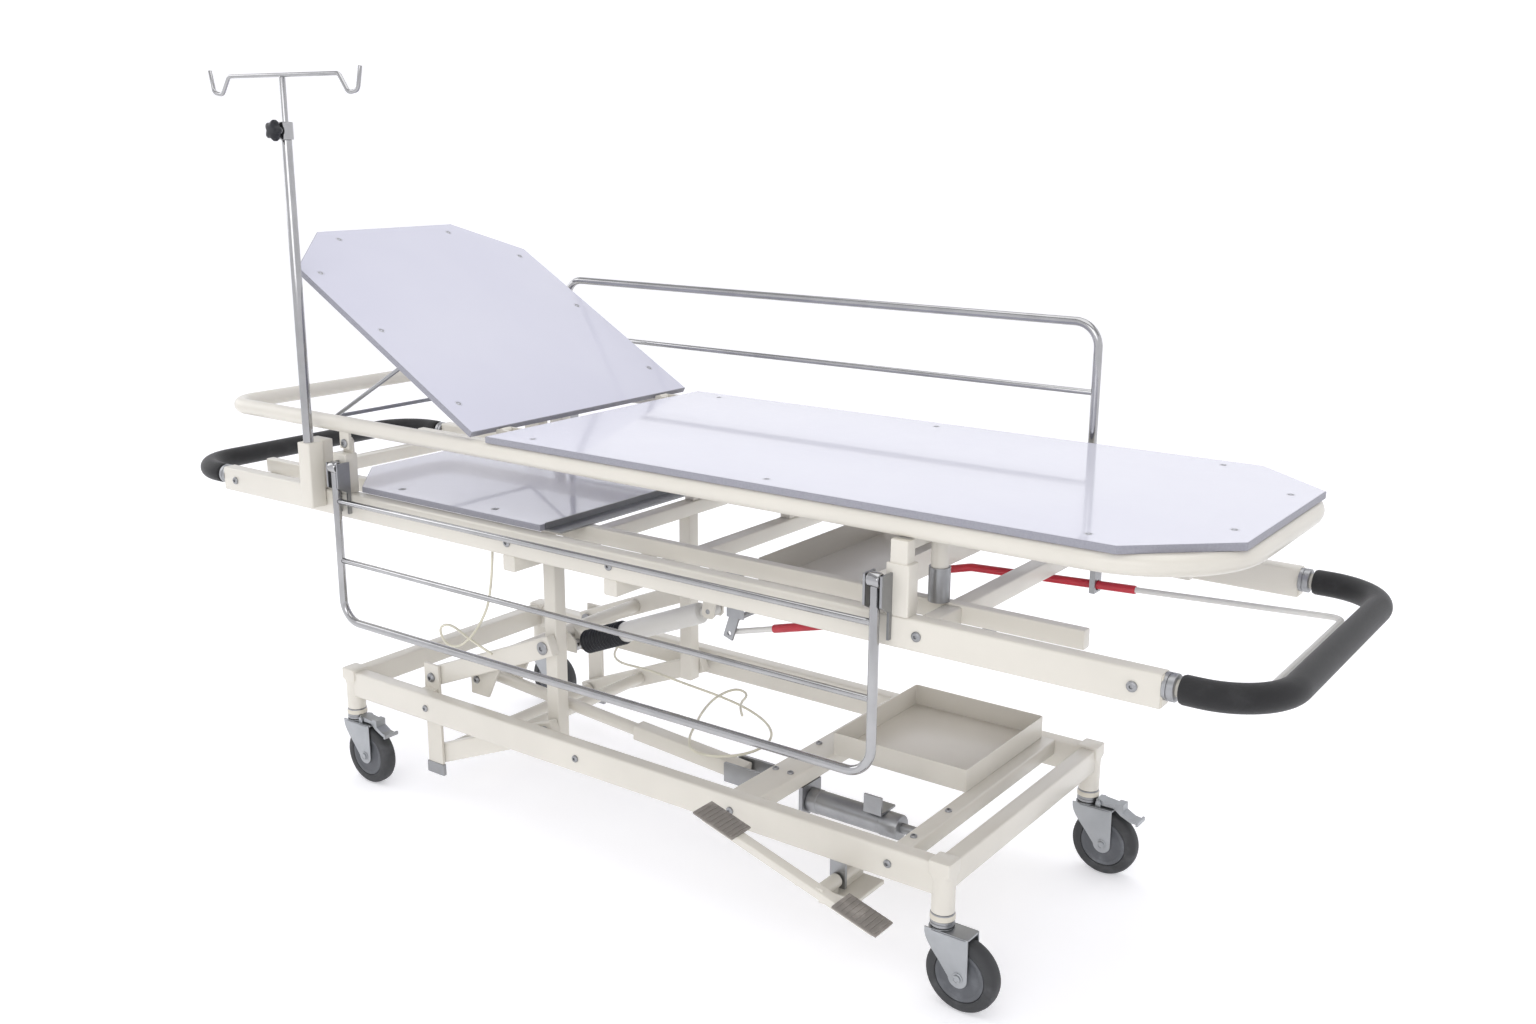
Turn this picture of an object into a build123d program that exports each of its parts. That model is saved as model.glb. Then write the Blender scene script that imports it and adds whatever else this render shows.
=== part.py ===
"""Ambulance cot: wheeled base, parallelogram lift, chassis, tilting top frame and backrest.

Frame: millimetres, +Z up, floor at Z=0, head end towards -X, foot end towards +X, near side -Y.
One STEP file is written for each named node.
"""
from build123d import *
import math
import os

os.makedirs("parts", exist_ok=True)

# ---- driving dimensions -------------------------------------------------------------
HEAD_POST_X = -735.0        # castor post axes along the base
FOOT_POST_X = 679.0
BASE_Y = 278.0              # base rail centre line
RAIL_W = 30.0
RAIL_TOP = 243.0
RAIL_H = 55.0
POST_D = 38.0
POST_TOP = 245.0
WALL = 2.0                  # square and round tube wall

WHEEL_D = 125.0
WHEEL_W = 30.0
HUB_R = 43.0                # grey wheel centre
TRAIL = 40.0
CROWN_Z = WHEEL_D + 4.0     # underside of the fork crown
COLLAR_Z = CROWN_Z + 5.5    # castor collar, and the post that stands on it
COLLAR_TOP = COLLAR_Z + 24.0

LIFT_X = -529.0             # base pivots of the lift arms
LIFT_UPPER_Z = 262.0
LIFT_LOWER_Z = 90.0
LINK_DX = 312.0             # pivot to pivot, along and up
LINK_DZ = 128.0
ARM_Y = 231.0
ARM_T = 20.0
ARM_H = 40.0
LEG_Y = 204.0
LEG_W = 30.0

CHASSIS_L = 2090.0
CHASSIS_HEAD_X = -1074.0    # head end of the main rails
CHASSIS_FOOT_X = CHASSIS_HEAD_X + CHASSIS_L
CHASSIS_Y = 308.0
CHASSIS_BOTTOM = 592.0
CHASSIS_H = 50.0
INNER_Y = 215.0
INNER_BOTTOM = 615.0
INNER_H = 30.0
INNER_HEAD_X = -1060.0
INNER_FOOT_X = 862.0

HANDLE_OUT = 146.0          # handle centre line past the rail ends
HANDLE_D = 25.0
GRIP_D = 42.0
HANDLE_R = 100.0

HEAD_COLUMN_X = -682.0
FOOT_COLUMN_X = 604.0
TILT_Z = 740.0

TOP_Z = 777.0
TOP_D = 32.0
TOP_Y = 300.0
TOP_HEAD_X = -1064.0
TOP_FOOT_X = 1068.0
BOARD_T = 12.0
BOARD_HALF = 311.0
BOARD_HEAD_X = -275.0
BOARD_FOOT_X = 1073.0

BACK_X = -306.0             # backrest hinge
BACK_L = 672.0
BACK_DEG = 30.0
STAY_S = 250.0

SIDE_Y = 345.0              # side rail pivot line
SIDE_Z = 700.0
SIDE_ENDS = {-1: (-668.0, 580.0), 1: (-683.0, 615.0)}   # near and far rail legs
SIDE_DROP = 316.0
SIDE_D = 16.0

IV_X = -745.0
IV_Y = -345.0
IV_TUBE_TOP = 1325.0
IV_TOP = IV_TUBE_TOP + 118.0

HEAD_R = 8.0                # board screw heads
HEAD_SINK = 1.2

# ---- clearances ---------------------------------------------------------------------
PIN_GAP = 0.05              # radial, running pins
SLIDE_GAP = 0.3             # sliding tubes
SIDE_GAP = 0.5              # beside moving parts

CHASSIS_TOP = CHASSIS_BOTTOM + CHASSIS_H
INNER_TOP = INNER_BOTTOM + INNER_H
BOARD_BOTTOM = TOP_Z + TOP_D / 2
BOARD_TOP = BOARD_BOTTOM + BOARD_T
BACK_Z = BOARD_BOTTOM + BOARD_T / 2
RAIL_BOTTOM = RAIL_TOP - RAIL_H
UPPER_BASE = (LIFT_X, LIFT_UPPER_Z)
LOWER_BASE = (LIFT_X, LIFT_LOWER_Z)
UPPER_TOP = (LIFT_X + LINK_DX, LIFT_UPPER_Z + LINK_DZ)
LOWER_TOP = (LIFT_X + LINK_DX, LIFT_LOWER_Z + LINK_DZ)


# ---- helpers ------------------------------------------------------------------------
NODES = {}


def save(name, *shapes):
    """Adds pieces to one node; every piece stays a separate solid."""
    for shape in shapes:
        for item in (shape if isinstance(shape, (list, tuple)) else [shape]):
            NODES.setdefault(name, []).extend(item.solids())


def write_nodes():
    """Writes one STEP file for each node."""
    for name, solids in NODES.items():
        whole = solids[0] if len(solids) == 1 else Compound(children=solids)
        whole.label = name
        export_step(whole, f"parts/{name}.step")
        print(f"{name:24s} {len(solids):3d} solids {sum(s.volume for s in solids) / 1000:10.1f} cm3")
    print(len(NODES), "nodes")


def block(x0, x1, y0, y1, z0, z1):
    """A box between two corners."""
    size = (abs(x1 - x0), abs(y1 - y0), abs(z1 - z0))
    return Pos((x0 + x1) / 2, (y0 + y1) / 2, (z0 + z1) / 2) * Box(*size)


def bar_x(x0, x1, y, z0, z1, width, wall=WALL):
    """A square tube along X."""
    outer = block(x0, x1, y - width / 2, y + width / 2, z0, z1)
    inner = block(x0 - 1, x1 + 1, y - width / 2 + wall, y + width / 2 - wall, z0 + wall, z1 - wall)
    return outer - inner


def bar_y(y0, y1, x, z0, z1, width, wall=WALL):
    """A square tube along Y."""
    outer = block(x - width / 2, x + width / 2, y0, y1, z0, z1)
    low, high = min(y0, y1) - 1, max(y0, y1) + 1
    inner = block(x - width / 2 + wall, x + width / 2 - wall, low, high, z0 + wall, z1 - wall)
    return outer - inner


def rod(p, q, r, bore=0.0):
    """A round bar from p to q, hollow when a bore radius is given."""
    start = Vector(*p)
    run = Vector(*q) - start
    bar = Solid.make_cylinder(r, run.length, Plane(origin=start, z_dir=run))
    if bore:
        step = run.normalized()
        hole = Plane(origin=start - step, z_dir=run)
        bar = bar - Solid.make_cylinder(bore, run.length + 2, hole)
    return bar


def along_y(x, z, y0, y1, r, bore=0.0):
    return rod((x, y0, z), (x, y1, z), r, bore)


def along_z(x, y, z0, z1, r, bore=0.0):
    return rod((x, y, z0), (x, y, z1), r, bore)


def edge_tube(edge, r, bore=0.0):
    """Round tube along one straight or curved edge."""
    profile = Plane(origin=edge @ 0, z_dir=edge % 0) * Circle(r)
    if bore:
        profile = profile - Plane(origin=edge @ 0, z_dir=edge % 0) * Circle(bore)
    return sweep(profile, path=edge).solid()


def bent(points, bend, r, bore=0.0, close=False):
    """Straight runs and bends of round tube, butting face to face."""
    line = FilletPolyline(*points, radius=bend, close=close)
    solids = []
    for edge in line.edges():
        count = 1
        if edge.geom_type == GeomType.CIRCLE:
            count = max(1, math.ceil(edge.radius / 40))
        for i in range(count):
            piece = edge.trim(i / count, (i + 1) / count) if count > 1 else edge
            solids.append(edge_tube(piece, r, bore))
    return solids


def plate_y(outline, y0, y1):
    """A flat plate whose outline lies in XZ, between two Y planes."""
    face = make_face(Polyline(*[(x, y0, z) for x, z in outline], close=True))
    return Solid.extrude(face.face(), Vector(0, y1 - y0, 0))


def plate_z(outline, z0, z1):
    """A flat plate whose outline lies in XY, between two heights."""
    face = make_face(Polyline(*[(x, y, z0) for x, y in outline], close=True))
    return Solid.extrude(face.face(), Vector(0, 0, z1 - z0))


def flush_screws(board, spots, top):
    """Sinks a screw head into the board at each spot, level with its top face."""
    heads = [along_z(x, y, top - HEAD_SINK, top, HEAD_R) for x, y in spots]
    for x, y in spots:
        board = board - along_z(x, y, top - HEAD_SINK, top + 1, HEAD_R)
    return board, heads


def link_bar(a, b, y0, y1, height, past, hole_r):
    """A flat bar from pivot a to pivot b in XZ, with round holes at both."""
    ux, uz = b[0] - a[0], b[1] - a[1]
    run = math.hypot(ux, uz)
    ux, uz = ux / run, uz / run
    h = height / 2
    corners = []
    for along, up in ((-past, -h), (run + past, -h), (run + past, h), (-past, h)):
        corners.append((a[0] + ux * along - uz * up, a[1] + uz * along + ux * up))
    bar = plate_y(corners, y0, y1)
    for x, z in (a, b):
        bar = bar - along_y(x, z, min(y0, y1) - 1, max(y0, y1) + 1, hole_r)
    return bar


def bend_limits(points):
    """The largest tidy radius at each inner corner of a cable path."""
    radii = []
    for before, here, after in zip(points, points[1:], points[2:]):
        a = Vector(*here) - Vector(*before)
        b = Vector(*after) - Vector(*here)
        turn = math.radians(a.get_angle(b))
        radii.append(round(0.45 * min(a.length, b.length) / math.tan(turn / 2), 1))
    return radii


def cable(name, points, r):
    """A cable along hand-placed points, rounded at every corner."""
    radii = bend_limits(points)
    print(name, "radii", radii)
    path = FilletPolyline(*points, radius=radii)
    save(name, sweep(Plane(origin=path @ 0, z_dir=path % 0) * Circle(r), path=path).solid())


SIDES = (-1, 1)


# ---- base ---------------------------------------------------------------------------
def base():
    rails = []
    for s in SIDES:
        rail = bar_x(HEAD_POST_X, FOOT_POST_X, s * BASE_Y, RAIL_BOTTOM, RAIL_TOP, RAIL_W)
        for x in (HEAD_POST_X, FOOT_POST_X):
            rail = rail - along_z(x, s * BASE_Y, RAIL_BOTTOM - 1, RAIL_TOP + 1, POST_D / 2)
        rails.append(max(rail.solids(), key=lambda solid: solid.volume))
    save("base_side_rails", rails)

    posts = []
    caps = []
    for x in (HEAD_POST_X, FOOT_POST_X):
        for s in SIDES:
            posts.append(along_z(x, s * BASE_Y, COLLAR_TOP, POST_TOP, POST_D / 2, POST_D / 2 - 3))
            y = s * BASE_Y
            h = POST_D / 2
            caps.append(block(x - h, x + h, y - h, y + h, POST_TOP, POST_TOP + 3))
    save("base_posts", posts)
    save("base_posts", caps)

    face = BASE_Y - RAIL_W / 2
    cross = []
    for x in (HEAD_POST_X, FOOT_POST_X):
        tube = bar_y(-face, face, x, RAIL_TOP - 45, RAIL_TOP, 30)
        for s in SIDES:
            tube = tube - along_z(x, s * BASE_Y, 150, 260, POST_D / 2)
        cross.append(max(tube.solids(), key=lambda solid: solid.volume))
    cross.append(bar_y(-face, face, 598, RAIL_TOP - 30, RAIL_TOP, 30))
    cross.append(bar_y(-face, face, 285, RAIL_TOP - 30, RAIL_TOP, 60))
    save("base_cross_tubes", cross)

    floor_z = RAIL_TOP
    rim = floor_z + 42
    x0, x1, y0, y1 = 313.0, 588.0, -40.0, 262.0
    save(
        "equipment_tray",
        block(x0, x1, y0, y1, floor_z, floor_z + 2),
        block(x0, x0 + 2, y0, y1, floor_z + 2, rim),
        block(x1 - 2, x1, y0, y1, floor_z + 2, rim),
        block(x0 + 2, x1 - 2, y0, y0 + 2, floor_z + 2, rim),
        block(x0 + 2, x1 - 2, y1 - 2, y1, floor_z + 2, rim),
    )

    brackets = []
    shoes = []
    pins = []
    inner = ARM_Y - ARM_T / 2
    outer = ARM_Y + ARM_T / 2
    for s in SIDES:
        plate = block(LIFT_X - 21, LIFT_X + 21, s * (outer + 1), s * (outer + 7), 75, 290)
        brackets.append(plate)
        brackets.append(block(LIFT_X - 16, LIFT_X + 16, s * (outer + 7), s * face, 190, 240))
        shoes.append(block(LIFT_X - 24, LIFT_X + 24, s * (outer + 1), s * (outer + 9), 50, 75))
        for z in (LIFT_UPPER_Z, LIFT_LOWER_Z):
            pins.append(along_y(LIFT_X, z, s * (inner - 4), s * (outer + 1), 8))
        pins.append(along_y(LIFT_X, LIFT_UPPER_Z, s * (inner - 4), s * (inner - 8), 13))
    axle = along_y(LIFT_X, LIFT_LOWER_Z, -(inner - 4), inner - 4, 15, 12.5)
    save("lift_brackets", brackets, axle)
    save("base_fasteners", shoes)
    save("base_fasteners", pins)

    # lock strut clevis on the broad cross member
    save(
        "base_brackets",
        block(178, 255, -190, -184, 207, RAIL_TOP),
        block(178, 255, -146, -140, 207, RAIL_TOP),
        along_y(195, 225, -184, -146, 6),
    )
    save(
        "pump_cylinder",
        rod((316, -110, 180), (505, -110, 180), 22.5),
        rod((505, -110, 180), (535, -110, 180), 9),
    )
    save(
        "base_brackets",
        block(308, 316, -140, -80, 155, RAIL_TOP - 30),
        block(440, 476, -134, -86, 202.5, 206.5),
        block(440, 476, -134, -130, 206.5, 236),
    )

    bolts = []
    for s in SIDES:
        for x in (-500, -90, 270, 585):
            bolts.append(along_y(x, RAIL_TOP - 27, s * (BASE_Y + 15), s * (BASE_Y + 19), 7))
    for x, y in ((268, -155), (300, -155), (268, -16), (598, -120), (598, -235)):
        bolts.append(along_z(x, y, RAIL_TOP, RAIL_TOP + 4, 6))
    save("base_fasteners", bolts)


# ---- castors ------------------------------------------------------------------------
def castors():
    stems = []
    for i, x in enumerate((HEAD_POST_X, FOOT_POST_X)):
        for j, s in enumerate(SIDES):
            y = s * BASE_Y
            stems.append(along_z(x, y, COLLAR_Z, COLLAR_TOP, 20))
            stems.append(along_z(x, y, CROWN_Z - 4, COLLAR_Z, 6))
            stems.append(along_z(x, y, CROWN_Z - 8, CROWN_Z - 4, 10))
    save("castor_collars", stems)

    names = {(0, 0): "head_near", (0, 1): "head_far", (1, 0): "foot_near", (1, 1): "foot_far"}
    for (i, j), where in names.items():
        x = (HEAD_POST_X, FOOT_POST_X)[i]
        y = SIDES[j] * BASE_Y
        ax = x + TRAIL
        az = WHEEL_D / 2
        gap = WHEEL_W / 2 + 1.5
        cheek = (
            (x - 22, CROWN_Z),
            (ax + 16, CROWN_Z),
            (ax + 17, az + 3),
            (ax + 11, az - 14),
            (ax - 11, az - 14),
            (ax - 17, az - 2),
            (x - 14, CROWN_Z - 27),
            (x - 21, CROWN_Z - 12),
        )
        pieces = [plate_y(cheek, y - gap - 3, y - gap), plate_y(cheek, y + gap, y + gap + 3)]
        crown = block(x - 22, ax + 16, y - gap - 3, y + gap + 3, CROWN_Z, CROWN_Z + 4)
        pieces.append(crown - along_z(x, y, CROWN_Z - 9, CROWN_Z + 9, 17))
        pieces.append(along_z(x, y, CROWN_Z - 3.5, COLLAR_Z - SIDE_GAP, 17, 6 + PIN_GAP))
        pieces.append(along_y(ax, az, y - gap - 8, y + gap + 8, 5))
        cheeks = []
        for piece in pieces[:2]:
            cheeks.append(piece - pieces[4])
        save(f"castor_fork_{where}", cheeks, pieces[2:])
        hub = along_y(ax, az, y - WHEEL_W / 2 + 1, y + WHEEL_W / 2 - 1, HUB_R, 5 + PIN_GAP)
        save(f"castor_wheel_{where}", hub)
        tyre = along_y(ax, az, y - WHEEL_W / 2, y + WHEEL_W / 2, WHEEL_D / 2, HUB_R)
        save(f"castor_wheel_{where}", tyre)

    for where, x, s in (("head", HEAD_POST_X, -1), ("foot", FOOT_POST_X, 1)):
        y = s * BASE_Y
        ax = x + TRAIL
        top = CROWN_Z + 4
        pin = (ax - 13, top + 8.5)
        side = ((-18, 3.5), (16, 3.5), (30, -7), (50, -16), (62, -16), (62, -11), (50, -9), (34, 0), (34, 14),
                (20, 14), (20, 10), (-18, 14))
        arm = plate_y([(ax + u, top + v) for u, v in side], y - 12, y + 12)
        arm = arm - along_y(*pin, y - 20, y + 20, 3 + PIN_GAP)
        toe = block(ax + 62, ax + 66, y - 18, y + 18, top - 17, top - 10)
        save(f"brake_lever_{where}", arm, toe)
        ears = [along_y(*pin, y - 12.5, y + 12.5, 3)]
        for e in SIDES:
            ears.append(block(ax - 18.5, ax - 8, y + e * 12.5, y + e * 15.5, top, top + 13))
        near = {"head": "head_near", "foot": "foot_far"}[where]
        save(f"castor_fork_{near}", ears)


# ---- foot pedal ---------------------------------------------------------------------
def pedal():
    px, pz = 483.0, 150.0
    save(
        "base_brackets",
        block(px - 15, px + 15, -281, -275, 136, RAIL_BOTTOM),
        along_y(px, pz, -334, -281, 6),
        along_y(px, pz, -275, -202, 6),
    )
    outline = ((-395, 196), (-395, 186), (-292, 122), (-205, 122), (-205, 130), (-289, 130))
    face = make_face(Polyline(*[(476, y, z) for y, z in outline], close=True))
    arm = Solid.extrude(face.face(), Vector(52, 0, 0))
    boss_out = along_y(px, pz, -329, -284, 12)
    boss_in = along_y(px, pz, -272, -207, 12)
    web_out = block(px - 7, px + 7, -300, -284, 124, 148)
    web_in = block(px - 7, px + 7, -272, -207, 124, 148)
    arm = arm + boss_out + boss_in + web_out + web_in
    arm = arm - along_y(px, pz, -400, -190, 6 + PIN_GAP)
    a, b = (322.0, 243.0), (595.0, 164.0)
    bar = link_bar(a, b, -399, -377, 14, 30, 1.0)
    bar = bar - arm
    save("pedal_arm", arm, max(bar.solids(), key=lambda solid: solid.volume))
    run = math.hypot(b[0] - a[0], b[1] - a[1])
    ux, uz = (b[0] - a[0]) / run, (b[1] - a[1]) / run
    pads = []
    for centre in (a, b):
        corners = []
        for along, up in ((-42, 7), (42, 7), (42, 12), (-42, 12)):
            corners.append((centre[0] + ux * along - uz * up, centre[1] + uz * along + ux * up))
        pads.append(plate_y(corners, -413, -361))
    save("pedal_pads", pads)


# ---- lift linkage -------------------------------------------------------------------
def lift():
    hole = 8 + PIN_GAP
    y_in = ARM_Y - ARM_T / 2
    y_out = ARM_Y + ARM_T / 2
    upper = []
    lower = []
    for s in SIDES:
        upper.append(link_bar(UPPER_BASE, UPPER_TOP, s * y_in, s * y_out, ARM_H, 20, hole))
        lower.append(link_bar(LOWER_BASE, LOWER_TOP, s * y_in, s * y_out, ARM_H, 20, hole))
    cross = along_y(-385, 321, -y_in, y_in, 15, 13)
    save("upper_lift_arms", upper, cross)
    save("lower_lift_arms", lower, along_y(-373, 154, -y_in, y_in, 13, 11))
    lugs = []
    for s in SIDES:
        lug = plate_y(((-396, 309), (-372, 286), (-346, 286), (-346, 312), (-374, 332)), s * 10, s * 14)
        lugs.append(lug - along_y(-385, 321, -20, 20, 15))
    sides = []
    for y in (-211, -126):
        side = plate_y(((-452, 236), (-404, 236), (-372, 300), (-396, 316), (-452, 300)), y, y + 6)
        sides.append(side - along_y(-385, 321, -220, -100, 15))
    save("upper_lift_arms", sides, lugs)

    fx, fz, cx, cz = 195.0, 225.0, -435.0, 266.0
    run = math.hypot(cx - fx, cz - fz)
    ux, uz = (cx - fx) / run, (cz - fz) / run
    y = -165.0
    outer = link_bar((fx, fz), (fx + ux * 225, fz + uz * 225), y - 15, y + 15, 30, 16, 0.5)
    outer = outer - along_y(fx, fz, y - 20, y + 20, 6 + PIN_GAP)
    bore = rod((fx + ux * 30, y, fz + uz * 30), (fx + ux * 260, y, fz + uz * 260), 12 + SLIDE_GAP)
    outer = outer - bore
    save("lock_strut_outer", max(outer.solids(), key=lambda solid: solid.volume))
    inner = rod((fx + ux * 150, y, fz + uz * 150), (cx, y, cz), 12)
    save("lock_strut_inner", inner, rod((cx, y - 28, cz), (cx, y + 28, cz), 6) - inner)

    ex, ez, sx, sz = -359.0, 298.0, 6.0, 448.0
    run = math.hypot(ex - sx, ez - sz)
    ux, uz = (ex - sx) / run, (ez - sz) / run

    def at(s, y=0.0):
        return (sx + ux * s, y, sz + uz * s)

    eye = along_y(sx, sz, -10, 10, 13, 5 + PIN_GAP)
    neck = rod(at(10), at(27), 9) - along_y(sx, sz, -12, 12, 13)
    body = rod(at(27), at(275), 21) - rod(at(190), at(280), 7 + SLIDE_GAP)
    save("gas_spring_cylinder", eye, neck, body)
    piston = rod(at(215), at(run - 12), 7)
    ring = along_y(ex, ez, -8, 8, 12) - piston
    save("gas_spring_rod", piston, max(ring.solids(), key=lambda solid: solid.volume))
    boot = rod(at(246), at(352), 25, 21 + 2 * SLIDE_GAP)
    lid = rod(at(352), at(358), 25, 7)
    save("gas_spring_boot", boot, lid)


# ---- chassis ------------------------------------------------------------------------
RELEASE_X = (205.0, 455.0, CHASSIS_FOOT_X + 100.0)      # pivot end, bend and pull end
RELEASE_Z = (500.0, 567.0, 600.0)


def release_height(x):
    """Height of the release rods' outer run at x, which the guides follow."""
    share = (x - RELEASE_X[1]) / (RELEASE_X[2] - 20 - RELEASE_X[1])
    return RELEASE_Z[1] + share * (RELEASE_Z[2] - RELEASE_Z[1])


def chassis():
    ends = {-1: CHASSIS_HEAD_X, 1: CHASSIS_FOOT_X}
    zt = CHASSIS_TOP
    y_in = CHASSIS_Y - 15
    slot_y = 12.5
    rails = []
    for s in SIDES:
        rail = bar_x(CHASSIS_HEAD_X, CHASSIS_FOOT_X, s * CHASSIS_Y, CHASSIS_BOTTOM, zt, 30)
        well = block(FOOT_COLUMN_X - 15.5, FOOT_COLUMN_X + 15.5, s * CHASSIS_Y - slot_y,
                     s * CHASSIS_Y + slot_y, zt - 5, zt + 5)
        rails.append(rail - well)
    save("chassis_rails", rails)

    plugs = []
    for s in SIDES:
        for e in SIDES:
            y = s * CHASSIS_Y
            plugs.append(block(ends[e] - e * 6, ends[e], y - 13, y + 13, CHASSIS_BOTTOM + 2, zt - 2))
    save("chassis_rails", plugs)

    cross = [
        bar_y(-CHASSIS_Y - 12, CHASSIS_Y + 12, UPPER_TOP[0], 562, CHASSIS_BOTTOM, 30),
        bar_y(-CHASSIS_Y - 12, CHASSIS_Y + 12, 30, 562, CHASSIS_BOTTOM, 30),
        bar_y(-y_in, y_in, -1038, INNER_BOTTOM - 28, INNER_BOTTOM, 30),
        bar_y(-INNER_Y + 10, INNER_Y - 10, 647, 612, zt, 30),
    ]
    for s in SIDES:
        cross.append(bar_y(s * (INNER_Y + 10), s * y_in, 647, 612, zt, 30))
        for x in (UPPER_TOP[0], 30):
            cross.append(block(x - 12, x + 12, s * (INNER_Y - 8), s * (INNER_Y + 8), CHASSIS_BOTTOM, INNER_BOTTOM))
    save("chassis_cross_tubes", cross)

    inner = []
    for s in SIDES:
        inner.append(bar_x(INNER_HEAD_X, INNER_FOOT_X, s * INNER_Y, INNER_BOTTOM, INNER_TOP, 20, 1.5))
    save("chassis_inner_rails", inner)

    legs = []
    pins = []
    y0 = LEG_Y + LEG_W / 2
    y1 = ARM_Y + ARM_T / 2
    for s in SIDES:
        leg = block(UPPER_TOP[0] - 15, UPPER_TOP[0] + 15, s * (LEG_Y - 15), s * (LEG_Y + 15), 195, 562)
        core = block(UPPER_TOP[0] - 13, UPPER_TOP[0] + 13, s * (LEG_Y - 13), s * (LEG_Y + 13), 197, 560)
        legs.append(leg - core)
        for x, z in (UPPER_TOP, LOWER_TOP):
            pins.append(along_y(x, z, s * y0, s * (y1 + 0.5), 8))
            pins.append(along_y(x, z, s * (y1 + 0.5), s * (y1 + 5), 13))
    save("lift_legs", legs)
    save("chassis_fasteners", pins)

    mount = []
    for s in SIDES:
        plate = plate_y(((15, 562), (-9, 450), (-9, 434), (21, 434), (21, 450), (45, 562)), s * 12, s * 16)
        mount.append(plate)
    mount.append(along_y(6, 448, -12, 12, 5))
    save("chassis_cross_tubes", mount)

    save(
        "cable_trough",
        block(264, 470, -205, 205, 600, 602),
        block(264, 266, -205, 205, 602, 646),
        block(468, 470, -205, 205, 602, 646),
    )

    sleeves = []
    for s in SIDES:
        y = s * CHASSIS_Y
        sleeve = block(FOOT_COLUMN_X - 20, FOOT_COLUMN_X + 20, y - 15, y + 15, zt, 723)
        bore = block(FOOT_COLUMN_X - 15.5, FOOT_COLUMN_X + 15.5, y - 12.5, y + 12.5, zt - 1, 724)
        sleeves.append(sleeve - bore)
        head = block(HEAD_COLUMN_X - 20, HEAD_COLUMN_X + 20, y - 15, y + 15, zt, 722)
        core = block(HEAD_COLUMN_X - 17, HEAD_COLUMN_X + 17, y - 12, y + 12, zt, 719)
        sleeves.append(head - core)
        sleeves.append(block(-785, -736, y - 15, y + 15, zt, 741))
    save("column_sleeves", sleeves)

    hinges = []
    for s in SIDES:
        hinges.append(block(HEAD_COLUMN_X - 14, HEAD_COLUMN_X + 14, s * 294, s * 300, 722, 752))
        hinges.append(along_y(HEAD_COLUMN_X, TILT_Z, s * 300, s * 307.5, 5))
        hinges.append(along_y(HEAD_COLUMN_X, TILT_Z, s * 307.5, s * 311, 9))
    save("column_sleeves", hinges)

    strut_y = -(INNER_Y + 10)
    cup = along_z(622, strut_y, INNER_TOP, 700, 17, 14 + SLIDE_GAP)
    save("chassis_brackets", cup)

    rings = []
    tubes = []
    grips = []
    z = CHASSIS_BOTTOM + 30
    for e in SIDES:
        for s in SIDES:
            y = s * 305
            rings.append(rod((ends[e], y, z), (ends[e] + e * 17, y, z), 20, HANDLE_D / 2))
        reach = ends[e] + e * HANDLE_OUT
        path = ((ends[e], -305, z), (reach, -305, z), (reach, 305, z), (ends[e], 305, z))
        tubes += bent(path, HANDLE_R, HANDLE_D / 2, HANDLE_D / 2 - WALL)
        start = ends[e] + e * 20
        soft = ((start, -305, z), (reach, -305, z), (reach, 305, z), (start, 305, z))
        grips += bent(soft, HANDLE_R, GRIP_D / 2, HANDLE_D / 2)
    save("chassis_fasteners", rings)
    save("handle_tubes", tubes)
    save("handle_grips", grips)

    socket = block(IV_X - 18, IV_X + 18, IV_Y - 16, -(CHASSIS_Y + 15), 610, 741)
    socket = socket - along_z(IV_X, IV_Y, 640, 742, 10 + PIN_GAP)
    save("column_sleeves", socket)

    lugs = []
    for s in SIDES:
        for x in SIDE_ENDS[s]:
            for e in SIDES:
                face = x + e * 13
                outline = ((s * 323, 604), (s * 331, 604), (s * 331, 648), (s * 353, 660),
                           (s * 353, SIDE_Z + 9), (s * 323, SIDE_Z + 9))
                strap = make_face(Polyline(*[(face, y, z) for y, z in outline], close=True))
                lugs.append(Solid.extrude(strap.face(), Vector(e * 4, 0, 0)))
            lugs.append(rod((x - 13, s * SIDE_Y, SIDE_Z), (x + 13, s * SIDE_Y, SIDE_Z), 4))
    save("rail_pivot_lugs", lugs)

    yo = 304
    shelf = ((-769, -yo + 130), (-640, -yo), (-150, -yo), (-150, yo), (-640, yo), (-769, yo - 130))
    spots = [(x, s * 270) for x in (-560, -300) for s in SIDES]
    shelf_top = INNER_TOP + BOARD_T
    shelf_board, shelf_heads = flush_screws(plate_z(shelf, INNER_TOP, shelf_top), spots, shelf_top)
    save("cassette_shelf", shelf_board)
    save(
        "chassis_brackets",
        block(-150, -109, -292, 292, INNER_TOP, INNER_TOP + 3),
        block(-150, -147, -292, 292, INNER_TOP + 3, INNER_TOP + 14),
    )

    bolts = shelf_heads
    for s in SIDES:
        face = s * (CHASSIS_Y + 15)
        for x in (CHASSIS_HEAD_X + 40, UPPER_TOP[0], 30, 640, CHASSIS_FOOT_X - 40):
            bolts.append(along_y(x, 617, face, face + s * 4, 8))
    save("chassis_fasteners", bolts)

    clips = []
    hangers = []
    for s in SIDES:
        guide = release_height(698) - 0.5
        clip = block(693, 703, s * 186, s * 214, guide - 13, INNER_BOTTOM)
        clips.append(clip - rod((680, s * 200, guide), (716, s * 200, guide), 9.5))
        hangers.append(block(205, 240, s * 213, s * 217, 533, INNER_BOTTOM))
        hangers.append(along_y(220, 545, s * 206, s * 213, 4))
    save("chassis_brackets", clips, hangers)


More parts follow.
